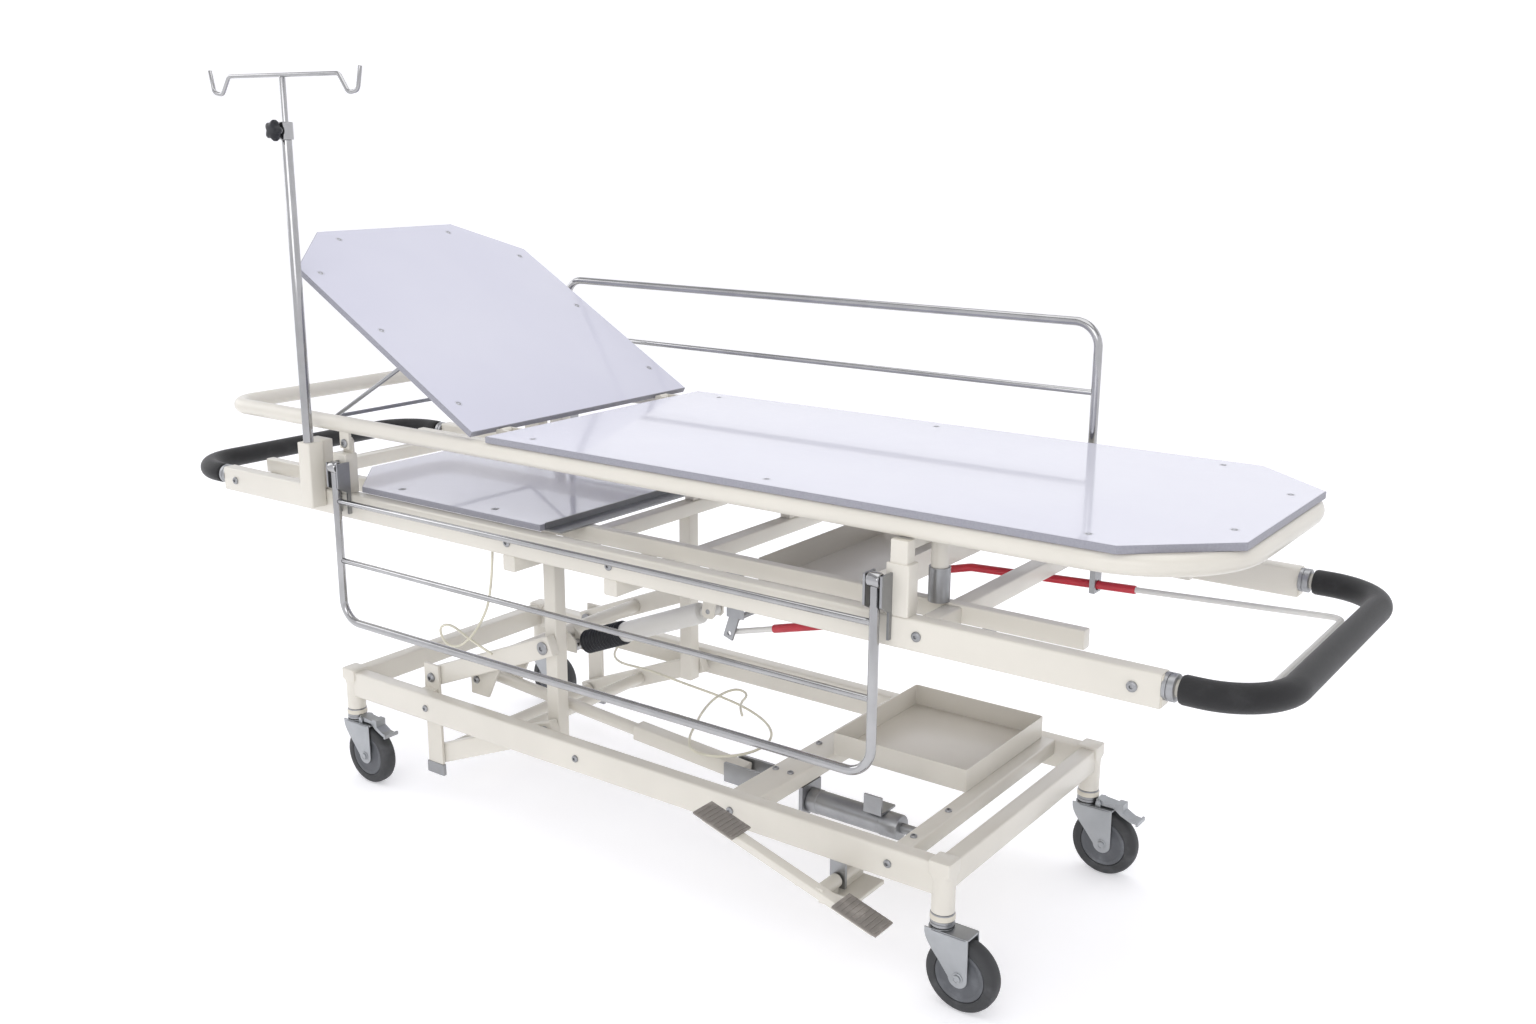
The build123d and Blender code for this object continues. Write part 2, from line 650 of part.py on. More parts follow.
# ---- tilt columns and top frame -----------------------------------------------------
def top_frame():
    posts = []
    for s in SIDES:
        y = s * CHASSIS_Y
        tube = block(FOOT_COLUMN_X - 15, FOOT_COLUMN_X + 15, y - 12, y + 12, 597, 759)
        core = block(FOOT_COLUMN_X - 13, FOOT_COLUMN_X + 13, y - 10, y + 10, 590, 757)
        posts.append(tube - core)
    y = CHASSIS_Y - 12
    posts.append(bar_y(-y, y, FOOT_COLUMN_X - 5.5, 737, 757, 19, 1.5))
    save("tilt_columns", posts)
    save("tilt_columns", along_z(622, -(INNER_Y + 10), 648, 790, 14, 12))

    corners = ((TOP_HEAD_X, -TOP_Y, TOP_Z), (TOP_FOOT_X, -TOP_Y, TOP_Z),
               (TOP_FOOT_X, TOP_Y, TOP_Z), (TOP_HEAD_X, TOP_Y, TOP_Z))
    r = TOP_D / 2
    head, foot = 60.0, 180.0
    mid = (TOP_HEAD_X + TOP_FOOT_X) / 2
    path_foot = ((mid, -TOP_Y, TOP_Z), corners[1], corners[2], (mid, TOP_Y, TOP_Z))
    path_head = ((mid, TOP_Y, TOP_Z), corners[3], corners[0], (mid, -TOP_Y, TOP_Z))
    save("top_frame_tube", bent(path_foot, foot, r, r - 2), bent(path_head, head, r, r - 2))

    inside = TOP_Y - r
    cross = [bar_y(-inside - 3, inside + 3, BACK_X + 18, 767, 787, 24)]
    cross.append(bar_y(-inside - 3, inside + 3, 300, 767, 787, 24))
    trimmed = []
    for tube in cross:
        for s in SIDES:
            tube = tube - rod((-400, s * TOP_Y, TOP_Z), (400, s * TOP_Y, TOP_Z), r)
        trimmed.append(max(tube.solids(), key=lambda solid: solid.volume))
    save("top_cross_tubes", trimmed)

    lugs = []
    for s in SIDES:
        lug = block(HEAD_COLUMN_X - 14, HEAD_COLUMN_X + 14, s * 300.5, s * 307, 729, 766)
        lug = lug - rod((-720, s * TOP_Y, TOP_Z), (-640, s * TOP_Y, TOP_Z), r)
        lugs.append(lug - along_y(HEAD_COLUMN_X, TILT_Z, s * 290, s * 320, 5 + PIN_GAP))
    save("top_cross_tubes", lugs)

    main = (
        (BOARD_HEAD_X, -BOARD_HALF), (BOARD_FOOT_X - 137, -BOARD_HALF), (BOARD_FOOT_X, -BOARD_HALF + 125),
        (BOARD_FOOT_X, BOARD_HALF - 125), (BOARD_FOOT_X - 137, BOARD_HALF), (BOARD_HEAD_X, BOARD_HALF),
    )
    spots = [(x, s * 275) for x in (-190, 330, 880) for s in SIDES] + [(1035, s * 130) for s in SIDES]
    board, screws = flush_screws(plate_z(main, BOARD_BOTTOM, BOARD_TOP), spots, BOARD_TOP)
    save("main_board", board)
    save("main_board_screws", screws)

    knuckles = []
    for s in SIDES:
        for y0, y1 in ((212, 218), (242, 248)):
            plate = block(BACK_X - 6, BACK_X + 28, s * y0, s * y1, 787, 804)
            knuckles.append(plate)
        knuckles.append(along_y(BACK_X, BACK_Z, s * 218, s * 242, 4))
    save("top_cross_tubes", knuckles)


def backrest():
    turn = Pos(BACK_X, 0, BACK_Z) * Rot(0, BACK_DEG, 0)

    def place(shape):
        return turn * shape

    h = BOARD_T / 2
    outline = ((-8, -BOARD_HALF), (-556, -BOARD_HALF), (-BACK_L, -BOARD_HALF + 128),
               (-BACK_L, BOARD_HALF - 128), (-556, BOARD_HALF), (-8, BOARD_HALF))
    spots = [(x, s * 275) for x in (-90, -330, -530) for s in SIDES] + [(-640, s * 150) for s in SIDES]
    board, heads = flush_screws(plate_z(outline, -h, h), spots, h)
    save("backrest_board", place(board))
    straps = []
    for s in SIDES:
        knuckle = along_y(0, 0, s * 219, s * 241, 6.5)
        strap = block(-80, 0, s * 219, s * 241, -h - 3, -h)
        piece = (knuckle + strap) - along_y(0, 0, s * 200, s * 260, 4 + PIN_GAP)
        piece = piece - block(-90, -7.9, s * 200, s * 260, -h, h)
        straps.append(place(piece))
        hanger = block(-STAY_S - 12, -STAY_S + 12, s * 262, s * 266, -30, -h)
        straps.append(place(hanger - along_y(-STAY_S, -20, s * 250, s * 280, 4 + PIN_GAP)))
    frame = []
    for x in (-STAY_S - 40, -STAY_S + 22):
        frame.append(place(block(x, x + 18, -260, 260, -h - 14, -h)))
    save("backrest_frame", straps, frame)
    save("backrest_screws", [place(head) for head in heads])

    a = math.radians(BACK_DEG)
    bx = BACK_X - STAY_S * math.cos(a) - 20 * math.sin(a)
    bz = BACK_Z + STAY_S * math.sin(a) - 20 * math.cos(a)
    lx = bx - STAY_S * math.cos(a)
    lz = bz - STAY_S * math.sin(a)
    stay = []
    for s in SIDES:
        stay.append(rod((bx, s * 272, bz), (lx, s * 272, lz), 4) )
        stay.append(along_y(bx, bz, s * 262, s * 268, 4))
    low = along_y(lx, lz, -268, 268, 4)
    save("backrest_stay", stay, low)
    print("stay pivot", round(bx, 2), round(bz, 2), "low end", round(lx, 2), round(lz, 2))


# ---- side rails, pole, release bar, cables ------------------------------------------
def side_rail(name, side, up):
    y = side * SIDE_Y
    r = SIDE_D / 2
    head, foot = SIDE_ENDS[side]

    def z(drop):
        return SIDE_Z + up * drop

    path = ((head, y, z(12)), (head, y, z(SIDE_DROP)), (foot, y, z(SIDE_DROP)), (foot, y, z(12)))
    pieces = bent(path, 45, r, r - 1.5)
    for x in (head, foot):
        eye = rod((x - 11, y, SIDE_Z), (x + 11, y, SIDE_Z), 12, 4 + PIN_GAP)
        pieces.append(eye)
    for drop in (68, 190):
        pieces.append(rod((head + r, y, z(drop)), (foot - r, y, z(drop)), 5.5, 4))
    save(name, pieces)


def iv_pole():
    save("iv_pole_tube", along_z(IV_X, IV_Y, 645, IV_TUBE_TOP, 10, 6 + SLIDE_GAP))
    collar = along_z(IV_X, IV_Y, IV_TUBE_TOP, IV_TUBE_TOP + 33, 14, 6 + SLIDE_GAP)
    boss = along_y(IV_X, IV_TUBE_TOP + 17, IV_Y - 17, IV_Y - 10, 7)
    boss = boss - along_z(IV_X, IV_Y, 1300, 1400, 14)
    save("iv_pole_tube", collar, max(boss.solids(), key=lambda solid: solid.volume))
    zk = IV_TUBE_TOP + 17
    knob = along_y(IV_X, zk, IV_Y - 36, IV_Y - 17.5, 15)
    for i in range(5):
        a = math.radians(72 * i)
        knob = knob + along_y(IV_X + 15 * math.cos(a), zk + 15 * math.sin(a), IV_Y - 34, IV_Y - 20, 7)
    save("iv_pole_knob", knob)
    stem = along_z(IV_X, IV_Y, 1000, IV_TOP - 4, 6)
    bar = []
    for e in SIDES:
        path = ((IV_X, IV_Y, IV_TOP), (IV_X + e * 165, IV_Y, IV_TOP), (IV_X + e * 190, IV_Y, IV_TOP - 34),
                (IV_X + e * 216, IV_Y, IV_TOP - 30), (IV_X + e * 226, IV_Y, IV_TOP + 12))
        bar += bent(path, 12, 4)
    save("iv_pole_rod", stem, bar)


def release_bar():
    z0, z1, z2 = RELEASE_Z
    x0, x1, x2 = RELEASE_X
    rods = []
    sleeves = []
    for s in SIDES:
        y = s * 200
        line = FilletPolyline((x0, y, z0), (x1, y, z1), (x2 - 20, y, z2), radius=60)
        first, curve, last = list(line.edges())
        for edge in (first, curve, last):
            rods.append(edge_tube(edge, 5))
        if s < 0:
            sleeves.append(rod(tuple(first @ 0.36), tuple(first @ 0.8), 7.5, 5))
        else:
            sleeves.append(rod(tuple(first @ 0.22), tuple(first @ 1), 7.5, 5))
            sleeves.append(edge_tube(curve, 7.5, 5))
            sleeves.append(rod(tuple(last @ 0), tuple(last @ 0.49), 7.5, 5))
    ends = ((x2 - 20, -200, z2), (x2, -200, z2), (x2, 200, z2), (x2 - 20, 200, z2))
    rods += bent(ends, 18, 5)
    save("release_rod", rods)
    save("release_sleeves", sleeves)
    cranks = []
    for s in SIDES:
        crank = link_bar((220, 545), (205, 500), s * 206, s * 210, 20, 10, 4 + PIN_GAP)
        cranks.append(crank)
    save("release_cranks", cranks, along_y(214, 526, -206, 206, 5))


def cables():
    lift_run = ((-325, -256, 590), (-332, -256, 480), (-372, -256, 405), (-425, -256, 352), (-472, -256, 346),
                (-492, -256, 380), (-455, -256, 396), (-400, -256, 372), (-340, -256, 356))
    cable("lift_cable", lift_run, 2.5)
    lock_run = ((-440, 262, 222), (-425, 200, 226), (-350, 105, 232), (-230, 82, 247), (-110, 58, 250),
                (-10, 47, 250), (80, 25, 250), (160, -20, 252), (206, -80, 254), (212, -150, 256),
                (178, -205, 258), (128, -222, 262), (92, -184, 266), (60, -124, 264), (26, -56, 264),
                (0, 18, 262), (4, 78, 262), (46, 66, 262), (62, 8, 262), (100, -30, 262))
    cable("lock_cable", lock_run, 2.5)


base()
castors()
pedal()
lift()
chassis()
top_frame()
backrest()
side_rail("near_side_rail", -1, -1)
side_rail("far_side_rail", 1, 1)
iv_pole()
release_bar()
cables()
write_nodes()
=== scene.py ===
# %% [markdown]
# # Ambulance cot
# A wheeled patient cot: a base of square tube on four castors, a parallelogram lift, a chassis with
# padded handles, and a tilting top frame with two laminate boards. The engineering model is loaded as a
# fixed frame of named parts. Where its plain solids already look right they keep their shape and get a
# real finish. Tubes, boards, wheels, springs and cables are drawn again here as smooth surfaces.

# %% Load the frame
import bpy
import math
import numpy as np
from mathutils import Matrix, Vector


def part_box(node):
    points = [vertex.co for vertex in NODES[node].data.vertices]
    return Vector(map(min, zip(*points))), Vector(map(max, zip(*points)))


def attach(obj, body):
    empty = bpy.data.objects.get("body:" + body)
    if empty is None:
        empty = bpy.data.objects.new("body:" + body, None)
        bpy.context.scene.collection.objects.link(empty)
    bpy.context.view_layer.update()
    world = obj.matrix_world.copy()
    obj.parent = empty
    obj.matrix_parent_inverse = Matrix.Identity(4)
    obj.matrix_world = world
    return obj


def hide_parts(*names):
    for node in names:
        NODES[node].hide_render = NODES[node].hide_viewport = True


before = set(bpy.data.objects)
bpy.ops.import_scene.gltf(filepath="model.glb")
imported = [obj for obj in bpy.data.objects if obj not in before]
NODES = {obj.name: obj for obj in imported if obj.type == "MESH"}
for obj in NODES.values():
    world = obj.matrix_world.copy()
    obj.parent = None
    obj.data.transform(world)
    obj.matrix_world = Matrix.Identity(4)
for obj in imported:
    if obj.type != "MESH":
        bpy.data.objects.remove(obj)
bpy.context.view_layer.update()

# %% [markdown]
# The camera stands at the foot end on the near side, a little above the boards. A long lens keeps the
# rails nearly parallel. Its place was worked out first, so that everything after it can be judged.

# %% Camera
SCENE = bpy.context.scene
lens = bpy.data.cameras.new("studio_camera")
camera = bpy.data.objects.new("studio_camera", lens)
SCENE.collection.objects.link(camera)
camera.location = (1.657, -2.121, 1.336)
camera.rotation_euler = (math.radians(90 - 14.37), math.radians(-0.3), math.radians(36.08))
lens.sensor_width = 36.0
lens.lens = 34.18
lens.shift_x = 0.0057
lens.shift_y = -0.0013
SCENE.camera = camera
SCENE.view_settings.view_transform = "Standard"
print("camera lens", lens.lens)

# %% [markdown]
# Shader maths reads best as ordinary expressions. A small class wraps one socket, and each operator on
# it adds its Math nodes, so a worn edge can be written as wear * (1 - mask). The reflected forms let a
# plain number stand on the left. Any other node comes from one method, which sets it up and links it.

# %% Expressions for materials
class Wire:
    """One output socket that can be used in arithmetic."""

    def __init__(self, tree, socket):
        self.tree = tree
        self.socket = socket

    def math(self, operation, *others):
        node = self.tree.nodes.new("ShaderNodeMath")
        node.operation = operation
        for slot, value in zip(node.inputs, (self,) + others):
            if isinstance(value, Wire):
                self.tree.links.new(value.socket, slot)
            else:
                slot.default_value = value
        return Wire(self.tree, node.outputs[0])

    def __add__(self, other):
        return self.math("ADD", other)

    def __sub__(self, other):
        return self.math("SUBTRACT", other)

    def __rsub__(self, other):
        return (self * -1.0) + other

    def __mul__(self, other):
        return self.math("MULTIPLY", other)

    __radd__, __rmul__ = __add__, __mul__

    def step(self, low, high):
        """0 below low, 1 above high, and a smooth rise between them."""
        node = self.tree.nodes.new("ShaderNodeMapRange")
        node.interpolation_type = "SMOOTHSTEP"
        self.tree.links.new(self.socket, node.inputs["Value"])
        node.inputs["From Min"].default_value = low
        node.inputs["From Max"].default_value = high
        return Wire(self.tree, node.outputs["Result"])


class Finish:
    """A material on Object coordinates, with one Principled shader."""

    def __init__(self, name, colour, roughness, metallic=0.0, coat=0.0, coat_roughness=0.05,
                 specular=0.5):
        print("finish", name)
        self.material = bpy.data.materials.new(name)
        self.material.use_nodes = True
        self.tree = self.material.node_tree
        self.shader = self.tree.nodes["Principled BSDF"]
        self.set("Base Color", (*colour, 1.0))
        self.set("Roughness", roughness)
        self.set("Metallic", metallic)
        self.set("Coat Weight", coat)
        self.set("Coat Roughness", coat_roughness)
        self.set("Specular IOR Level", specular)
        self.material.diffuse_color = (*colour, 1.0)
        self.place = self.node("ShaderNodeTexCoord", output="Object")

    def set(self, socket, value):
        """Gives a shader socket a constant or a wire."""
        slot = self.shader.inputs[socket]
        if isinstance(value, Wire):
            self.tree.links.new(value.socket, slot)
        else:
            slot.default_value = value

    def node(self, kind, output=0, settings=None, stops=None, **values):
        """Adds any node: settings first, then the values or links of its sockets."""
        made = self.tree.nodes.new(kind)
        for key, value in (settings or {}).items():
            setattr(made, key, value)
        if stops:
            ramp = made.color_ramp
            ramp.elements[0].position, ramp.elements[0].color = stops[0][0], (*stops[0][1], 1)
            ramp.elements[1].position, ramp.elements[1].color = stops[-1][0], (*stops[-1][1], 1)
            for at, colour in stops[1:-1]:
                ramp.elements.new(at).color = (*colour, 1)
        for key, value in values.items():
            slot = made.inputs[key.replace("_", " ")]
            if isinstance(value, Wire):
                self.tree.links.new(value.socket, slot)
            else:
                slot.default_value = value
        return Wire(self.tree, made.outputs[output])

    def noise(self, scale, detail=3.0, rough=0.55):
        return self.node("ShaderNodeTexNoise", output="Fac", Vector=self.place, Scale=scale,
                         Detail=detail, Roughness=rough)

    def mix(self, amount, first, second):
        """Blends two colours by a wire."""
        made = self.tree.nodes.new("ShaderNodeMix")
        made.data_type = "RGBA"
        self.tree.links.new(amount.socket, made.inputs["Factor"])
        for slot, colour in ((made.inputs[6], first), (made.inputs[7], second)):
            if isinstance(colour, Wire):
                self.tree.links.new(colour.socket, slot)
            else:
                slot.default_value = (*colour, 1.0)
        return Wire(self.tree, made.outputs[2])

    def bump(self, height, strength, distance):
        self.set("Normal", self.node("ShaderNodeBump", output="Normal", Height=height, Strength=strength,
                                     Distance=distance))


# %% [markdown]
# The steelwork is powder coated in a warm cream. Powder melts into a faint orange-peel skin, which only
# shows where a highlight breaks over it, so it is a fine bump rather than a colour. Handling leaves the
# coat very slightly darker in broad patches, with a few small grey scuffs where parts have been knocked.

# %% Cream powder coat
def cream_paint(name="cream_powder_coat", colour=(0.69, 0.66, 0.59)):
    """Colour = cream darkened by broad noise; roughness rises where a second noise is high."""
    finish = Finish(name, colour, 0.34, coat=0.25, coat_roughness=0.16)
    broad = finish.noise(3.5, 4.0)
    fine = finish.noise(420.0, 2.0)
    scuff = finish.noise(38.0, 5.0, 0.7).step(0.70, 0.76)
    dull = tuple(c * 0.93 for c in colour)
    tone = finish.mix(broad.step(0.35, 0.7), colour, dull)
    finish.set("Base Color", finish.mix(scuff * 0.30, tone, (0.50, 0.48, 0.43)))
    finish.set("Roughness", 0.30 + broad * 0.10 + scuff * 0.15)
    finish.bump(fine, 0.10, 0.0004)
    return finish.material


CREAM = cream_paint()
CREAM_CAP = cream_paint("cream_plastic_cap", (0.66, 0.62, 0.53))

# %% [markdown]
# Bare metal on the cot is of three kinds: bright chromed rails, dull zinc-plated brackets and bolts, and
# the pressed castor forks, which are lacquered silver. All three are the same idea, a metallic shader
# whose roughness wanders a little, and a stretched noise gives the zinc its faint drawn lines.

# %% Metals
def bare_metal(name, colour, roughness, wander, grain=0.0):
    """Roughness = base + wander times noise; grain is a fine bump."""
    finish = Finish(name, colour, roughness, metallic=1.0)
    patch = finish.noise(16.0, 4.0)
    smear = finish.noise(90.0, 3.0)
    low = tuple(c * 0.86 for c in colour)
    finish.set("Base Color", finish.mix(patch.step(0.3, 0.75), colour, low))
    finish.set("Roughness", roughness + (patch + smear) * wander)
    if grain:
        finish.bump(finish.noise(700.0, 2.0), grain, 0.0003)
    return finish.material


CHROME = bare_metal("bright_chrome", (0.43, 0.43, 0.435), 0.08, 0.04)
ZINC = bare_metal("zinc_plate", (0.36, 0.365, 0.375), 0.26, 0.12, 0.08)
CAST = bare_metal("castor_silver", (0.44, 0.455, 0.47), 0.32, 0.08, 0.15)
SPRING_WHITE = cream_paint("spring_white", (0.66, 0.65, 0.62))

# %% [markdown]
# The boards are compact laminate: a pale lilac-white sheet with a high polish over a darker core, which
# shows as a thin grey line along the sawn edge. The polish has long shallow waves, and cleaning leaves a
# haze of hairline marks that only changes the gloss.

# %% Laminate
def laminate_face():
    finish = Finish("laminate_face", (0.62, 0.62, 0.715), 0.12, coat=0.6, coat_roughness=0.04)
    cloud = finish.noise(2.2, 3.0)
    hair = finish.node("ShaderNodeTexNoise", output="Fac", Vector=finish.node(
        "ShaderNodeMapping", Vector=finish.place, Scale=(30.0, 900.0, 30.0)), Scale=1.0, Detail=2.0)
    finish.set("Base Color", finish.mix(cloud.step(0.3, 0.7), (0.63, 0.63, 0.72), (0.60, 0.60, 0.70)))
    finish.set("Roughness", 0.12 + hair.step(0.55, 0.75) * 0.10 + cloud * 0.05)
    finish.bump(cloud, 0.04, 0.004)
    return finish.material


def laminate_edge():
    finish = Finish("laminate_edge", (0.28, 0.28, 0.32), 0.45)
    layer = finish.noise(260.0, 2.0)
    finish.set("Base Color", finish.mix(layer, (0.24, 0.24, 0.28), (0.34, 0.34, 0.38)))
    finish.bump(layer, 0.12, 0.0003)
    return finish.material


FACE = laminate_face()
EDGE = laminate_edge()

# %% [markdown]
# Soft blacks come next: closed-cell foam on the handles, with fine pores and a dull sheen, solid rubber
# on the wheels, moulded plastic on the knob, and ribbed rubber on the pedal pads.

# %% Rubbers and plastics
def soft_black(name, colour, roughness, pore_scale, pore_depth, sheen=0.0):
    """Pores are the dark cells of a fine Voronoi pattern, pressed in as a bump."""
    finish = Finish(name, colour, roughness, specular=0.35)
    cells = finish.node("ShaderNodeTexVoronoi", output="Distance", Vector=finish.place, Scale=pore_scale)
    dust = finish.noise(24.0, 5.0)
    pale = tuple(c * 1.7 + 0.008 for c in colour)
    finish.set("Base Color", finish.mix(dust.step(0.48, 0.8), colour, pale))
    finish.set("Roughness", roughness + dust * 0.12)
    finish.set("Sheen Weight", sheen)
    finish.bump(cells, pore_depth, 0.0006)
    return finish.material


FOAM = soft_black("handle_foam", (0.012, 0.012, 0.013), 0.58, 620.0, 0.35, 0.15)
TYRE = soft_black("wheel_rubber", (0.045, 0.046, 0.048), 0.55, 300.0, 0.08)
HUB = soft_black("wheel_centre", (0.105, 0.11, 0.12), 0.45, 260.0, 0.06)
BLACK = soft_black("black_plastic", (0.012, 0.013, 0.017), 0.34, 240.0, 0.05)
PAD = soft_black("pedal_rubber", (0.235, 0.215, 0.195), 0.62, 420.0, 0.30)
SEAL = soft_black("dark_seal", (0.03, 0.03, 0.03), 0.5, 300.0, 0.05)


def glossy_plastic(name, colour, roughness):
    finish = Finish(name, colour, roughness, coat=0.2, coat_roughness=0.2)
    tone = finish.noise(30.0, 3.0)
    finish.set("Base Color", finish.mix(tone.step(0.3, 0.7), colour, tuple(c * 0.85 for c in colour)))
    finish.set("Roughness", roughness + tone * 0.1)
    return finish.material


RED = glossy_plastic("red_sleeve", (0.50, 0.012, 0.03), 0.30)
CABLE = glossy_plastic("cream_cable_sheath", (0.72, 0.69, 0.56), 0.36)
print("finishes", len(bpy.data.materials))

# %% [markdown]
# Nearly every shape on this cot is a grid: rings of points carried along a line. Neighbouring rings are
# joined by quads, and a flat face closes each end. Working on whole arrays keeps even long tubes quick.

# %% Grids
MM = 0.001
SIDES = (-1, 1)


def unit(v):
    v = np.asarray(v, float)
    return v / np.linalg.norm(v, axis=-1, keepdims=True)


def angles(count):
    """Evenly spaced angles round one turn."""
    return np.arange(count) * 2 * math.pi / count


def grid_faces(rings, around, closed):
    """Quads between neighbouring rings of a grid, wrapping around the section."""
    i = np.arange(rings if closed else rings - 1)[:, None]
    j = np.arange(around)[None, :]
    k = (j + 1) % around
    n = (i + 1) % rings
    return np.stack([i * around + j, i * around + k, n * around + k, n * around + j], -1).reshape(-1, 4)


def capped(rings, around):
    """The faces of an open grid, with a flat face over each end."""
    last = (rings - 1) * around + np.arange(around)[None, :]
    return [grid_faces(rings, around, False), np.arange(around)[None, ::-1], last]


print("faces of a capped grid of 12 rings", sum(len(poly) for poly in capped(12, 24)))

# %% [markdown]
# A grid may come out with its faces turned inwards, depending on which way its line runs. Rather than
# keep track of that, each part's volume is summed, and a part with a negative volume is turned round.

# %% Meshes and pieces
CREASE = math.radians(38)


def inside_out(verts, polys):
    """True where the volume, summed as fans from each face's first corner, comes out negative."""
    middle = verts.mean(0)
    total = 0.0
    for poly in polys:
        corner = verts[poly] - middle
        fan = np.cross(corner[:, 1:-1], corner[:, 2:])
        total += (corner[:, :1] * fan).sum()
    return total < 0


def make_mesh(name, parts, materials):
    """Joins (vertices in mm, list of face arrays, material index) parts into one mesh."""
    points, faces, slots, base = [], [], [], 0
    for verts, polys, index in parts:
        if inside_out(verts, polys):
            polys = [poly[:, ::-1] for poly in polys]
        points.append(verts)
        for poly in polys:
            rows = (poly + base).tolist()
            faces += rows
            slots += [index] * len(rows)
        base += len(verts)
    mesh = bpy.data.meshes.new(name)
    mesh.from_pydata((np.concatenate(points) * MM).tolist(), [], faces)
    for material in materials:
        mesh.materials.append(material)
    mesh.polygons.foreach_set("material_index", slots)
    mesh.polygons.foreach_set("use_smooth", [True] * len(faces))
    mesh.set_sharp_from_angle(angle=CREASE)
    mesh.update()
    return mesh


def put(name, data, body, nodes):
    """Places finished geometry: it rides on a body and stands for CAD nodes."""
    obj = bpy.data.objects.new(name, data)
    SCENE.collection.objects.link(obj)
    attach(obj, body)
    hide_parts(*nodes)


def add(name, parts, materials, body, nodes):
    """Makes one piece from its parts, places it and prints its size."""
    mesh = make_mesh(name, parts, materials)
    put(name, mesh, body, nodes)
    print(name, "on", body, "with", len(mesh.polygons), "faces")


print("creases stay sharp above", round(math.degrees(CREASE)), "degrees")


# %% [markdown]
# A section is given as points (across, up). At each station of a line, across is the tangent crossed with
# the normal of the line's plane, so the whole surface is one array: station + across * u + up * v. A
# second list of insets shrinks the section near an end, which rounds the end off. Turned parts are the
# same idea, with the section's radius changing along a straight axis.

# %% Lines, tubes and turned parts
def round_corners(points, radius, closed=False, steps=14):
    """A line through corners, each replaced by an arc of the given radius in that many steps."""
    pts = np.asarray(points, float)
    count = len(pts)
    radii = radius if isinstance(radius, (list, tuple)) else [radius] * count
    out = []
    for i in range(count):
        if not closed and i in (0, count - 1):
            out.append(pts[i][None, :])
            continue
        before, here, after = pts[i - 1], pts[i], pts[(i + 1) % count]
        a, b = unit(before - here), unit(after - here)
        half = math.acos(np.clip(a @ b, -1, 1)) / 2
        cut = radii[i] / math.tan(half)
        centre = here + unit(a + b) * radii[i] / math.sin(half)
        start, end = here + a * cut - centre, here + b * cut - centre
        swing = math.pi - 2 * half
        t = np.linspace(0, 1, steps + 1)[:, None]
        out.append(centre + (np.sin((1 - t) * swing) * start + np.sin(t * swing) * end) / math.sin(swing))
    return np.concatenate(out)


def circle(r, count=24):
    a = angles(count)
    return np.stack([np.cos(a) * r, np.sin(a) * r], 1)


def rounded_box_section(width, height, r, steps=4):
    """A rectangle with quarter-circle corners, counter-clockwise."""
    a = np.linspace(0, math.pi / 2, steps + 1)
    arc = np.stack([np.cos(a), np.sin(a)], 1) * r
    rows = []
    for k, (sx, sy) in enumerate(((1, 1), (-1, 1), (-1, -1), (1, -1))):
        turn = np.array([[math.cos(k * math.pi / 2), -math.sin(k * math.pi / 2)],
                         [math.sin(k * math.pi / 2), math.cos(k * math.pi / 2)]])
        rows.append(arc @ turn.T + np.array([sx * (width / 2 - r), sy * (height / 2 - r)]))
    return np.concatenate(rows)


def sweep(line, section, normal, closed=False, insets=None, index=0):
    """Surface = station + across * u + up * v, with flat ends where the line is open."""
    line = np.asarray(line, float)
    step = np.roll(line, -1, 0) - np.roll(line, 1, 0) if closed else np.gradient(line, axis=0)
    tangent = unit(step)
    across = unit(np.cross(tangent, unit(normal)))
    up = unit(np.cross(across, tangent))
    ring = section[None, :, :]
    if insets is not None:
        reach = np.abs(section).max()
        ring = ring * (1 - np.asarray(insets, float)[:, None, None] / reach)
    verts = line[:, None, :] + across[:, None, :] * ring[..., :1] + up[:, None, :] * ring[..., 1:]
    around = section.shape[0]
    faces = [grid_faces(len(line), around, True)] if closed else capped(len(line), around)
    return verts.reshape(-1, 3), faces, index


def ends(line, soften):
    """Adds two close stations at each end and says how far each is drawn in."""
    line = np.asarray(line, float)
    a = line[0] + unit(line[1] - line[0]) * soften
    b = line[-1] + unit(line[-2] - line[-1]) * soften
    c = line[0] + unit(line[1] - line[0]) * soften * 0.3
    d = line[-1] + unit(line[-2] - line[-1]) * soften * 0.3
    stations = np.concatenate([line[:1], c[None], a[None], line[1:-1], b[None], d[None], line[-1:]])
    insets = np.zeros(len(stations))
    insets[[0, -1]] = soften
    insets[[1, -2]] = soften * 0.3
    return stations, insets


def bar(p, q, width, height, r=3.0, up=(0, 0, 1), index=0, soften=1.0):
    """A straight square tube with rounded corners and softened ends."""
    stations, insets = ends([p, q], soften)
    return sweep(stations, rounded_box_section(width, height, r), up, insets=insets, index=index)


def tube(points, r, radius=0.0, normal=(0, 0, 1), index=0, closed=False, count=24, soften=0.8, steps=14):
    """A round tube along a line of corners, in the plane that has that normal."""
    line = round_corners(points, radius, closed, steps) if radius or closed else np.asarray(points, float)
    if closed:
        return sweep(line, circle(r, count), normal, closed=True, index=index)
    stations, insets = ends(line, min(soften, r * 0.4))
    return sweep(stations, circle(r, count), normal, insets=insets, index=index)


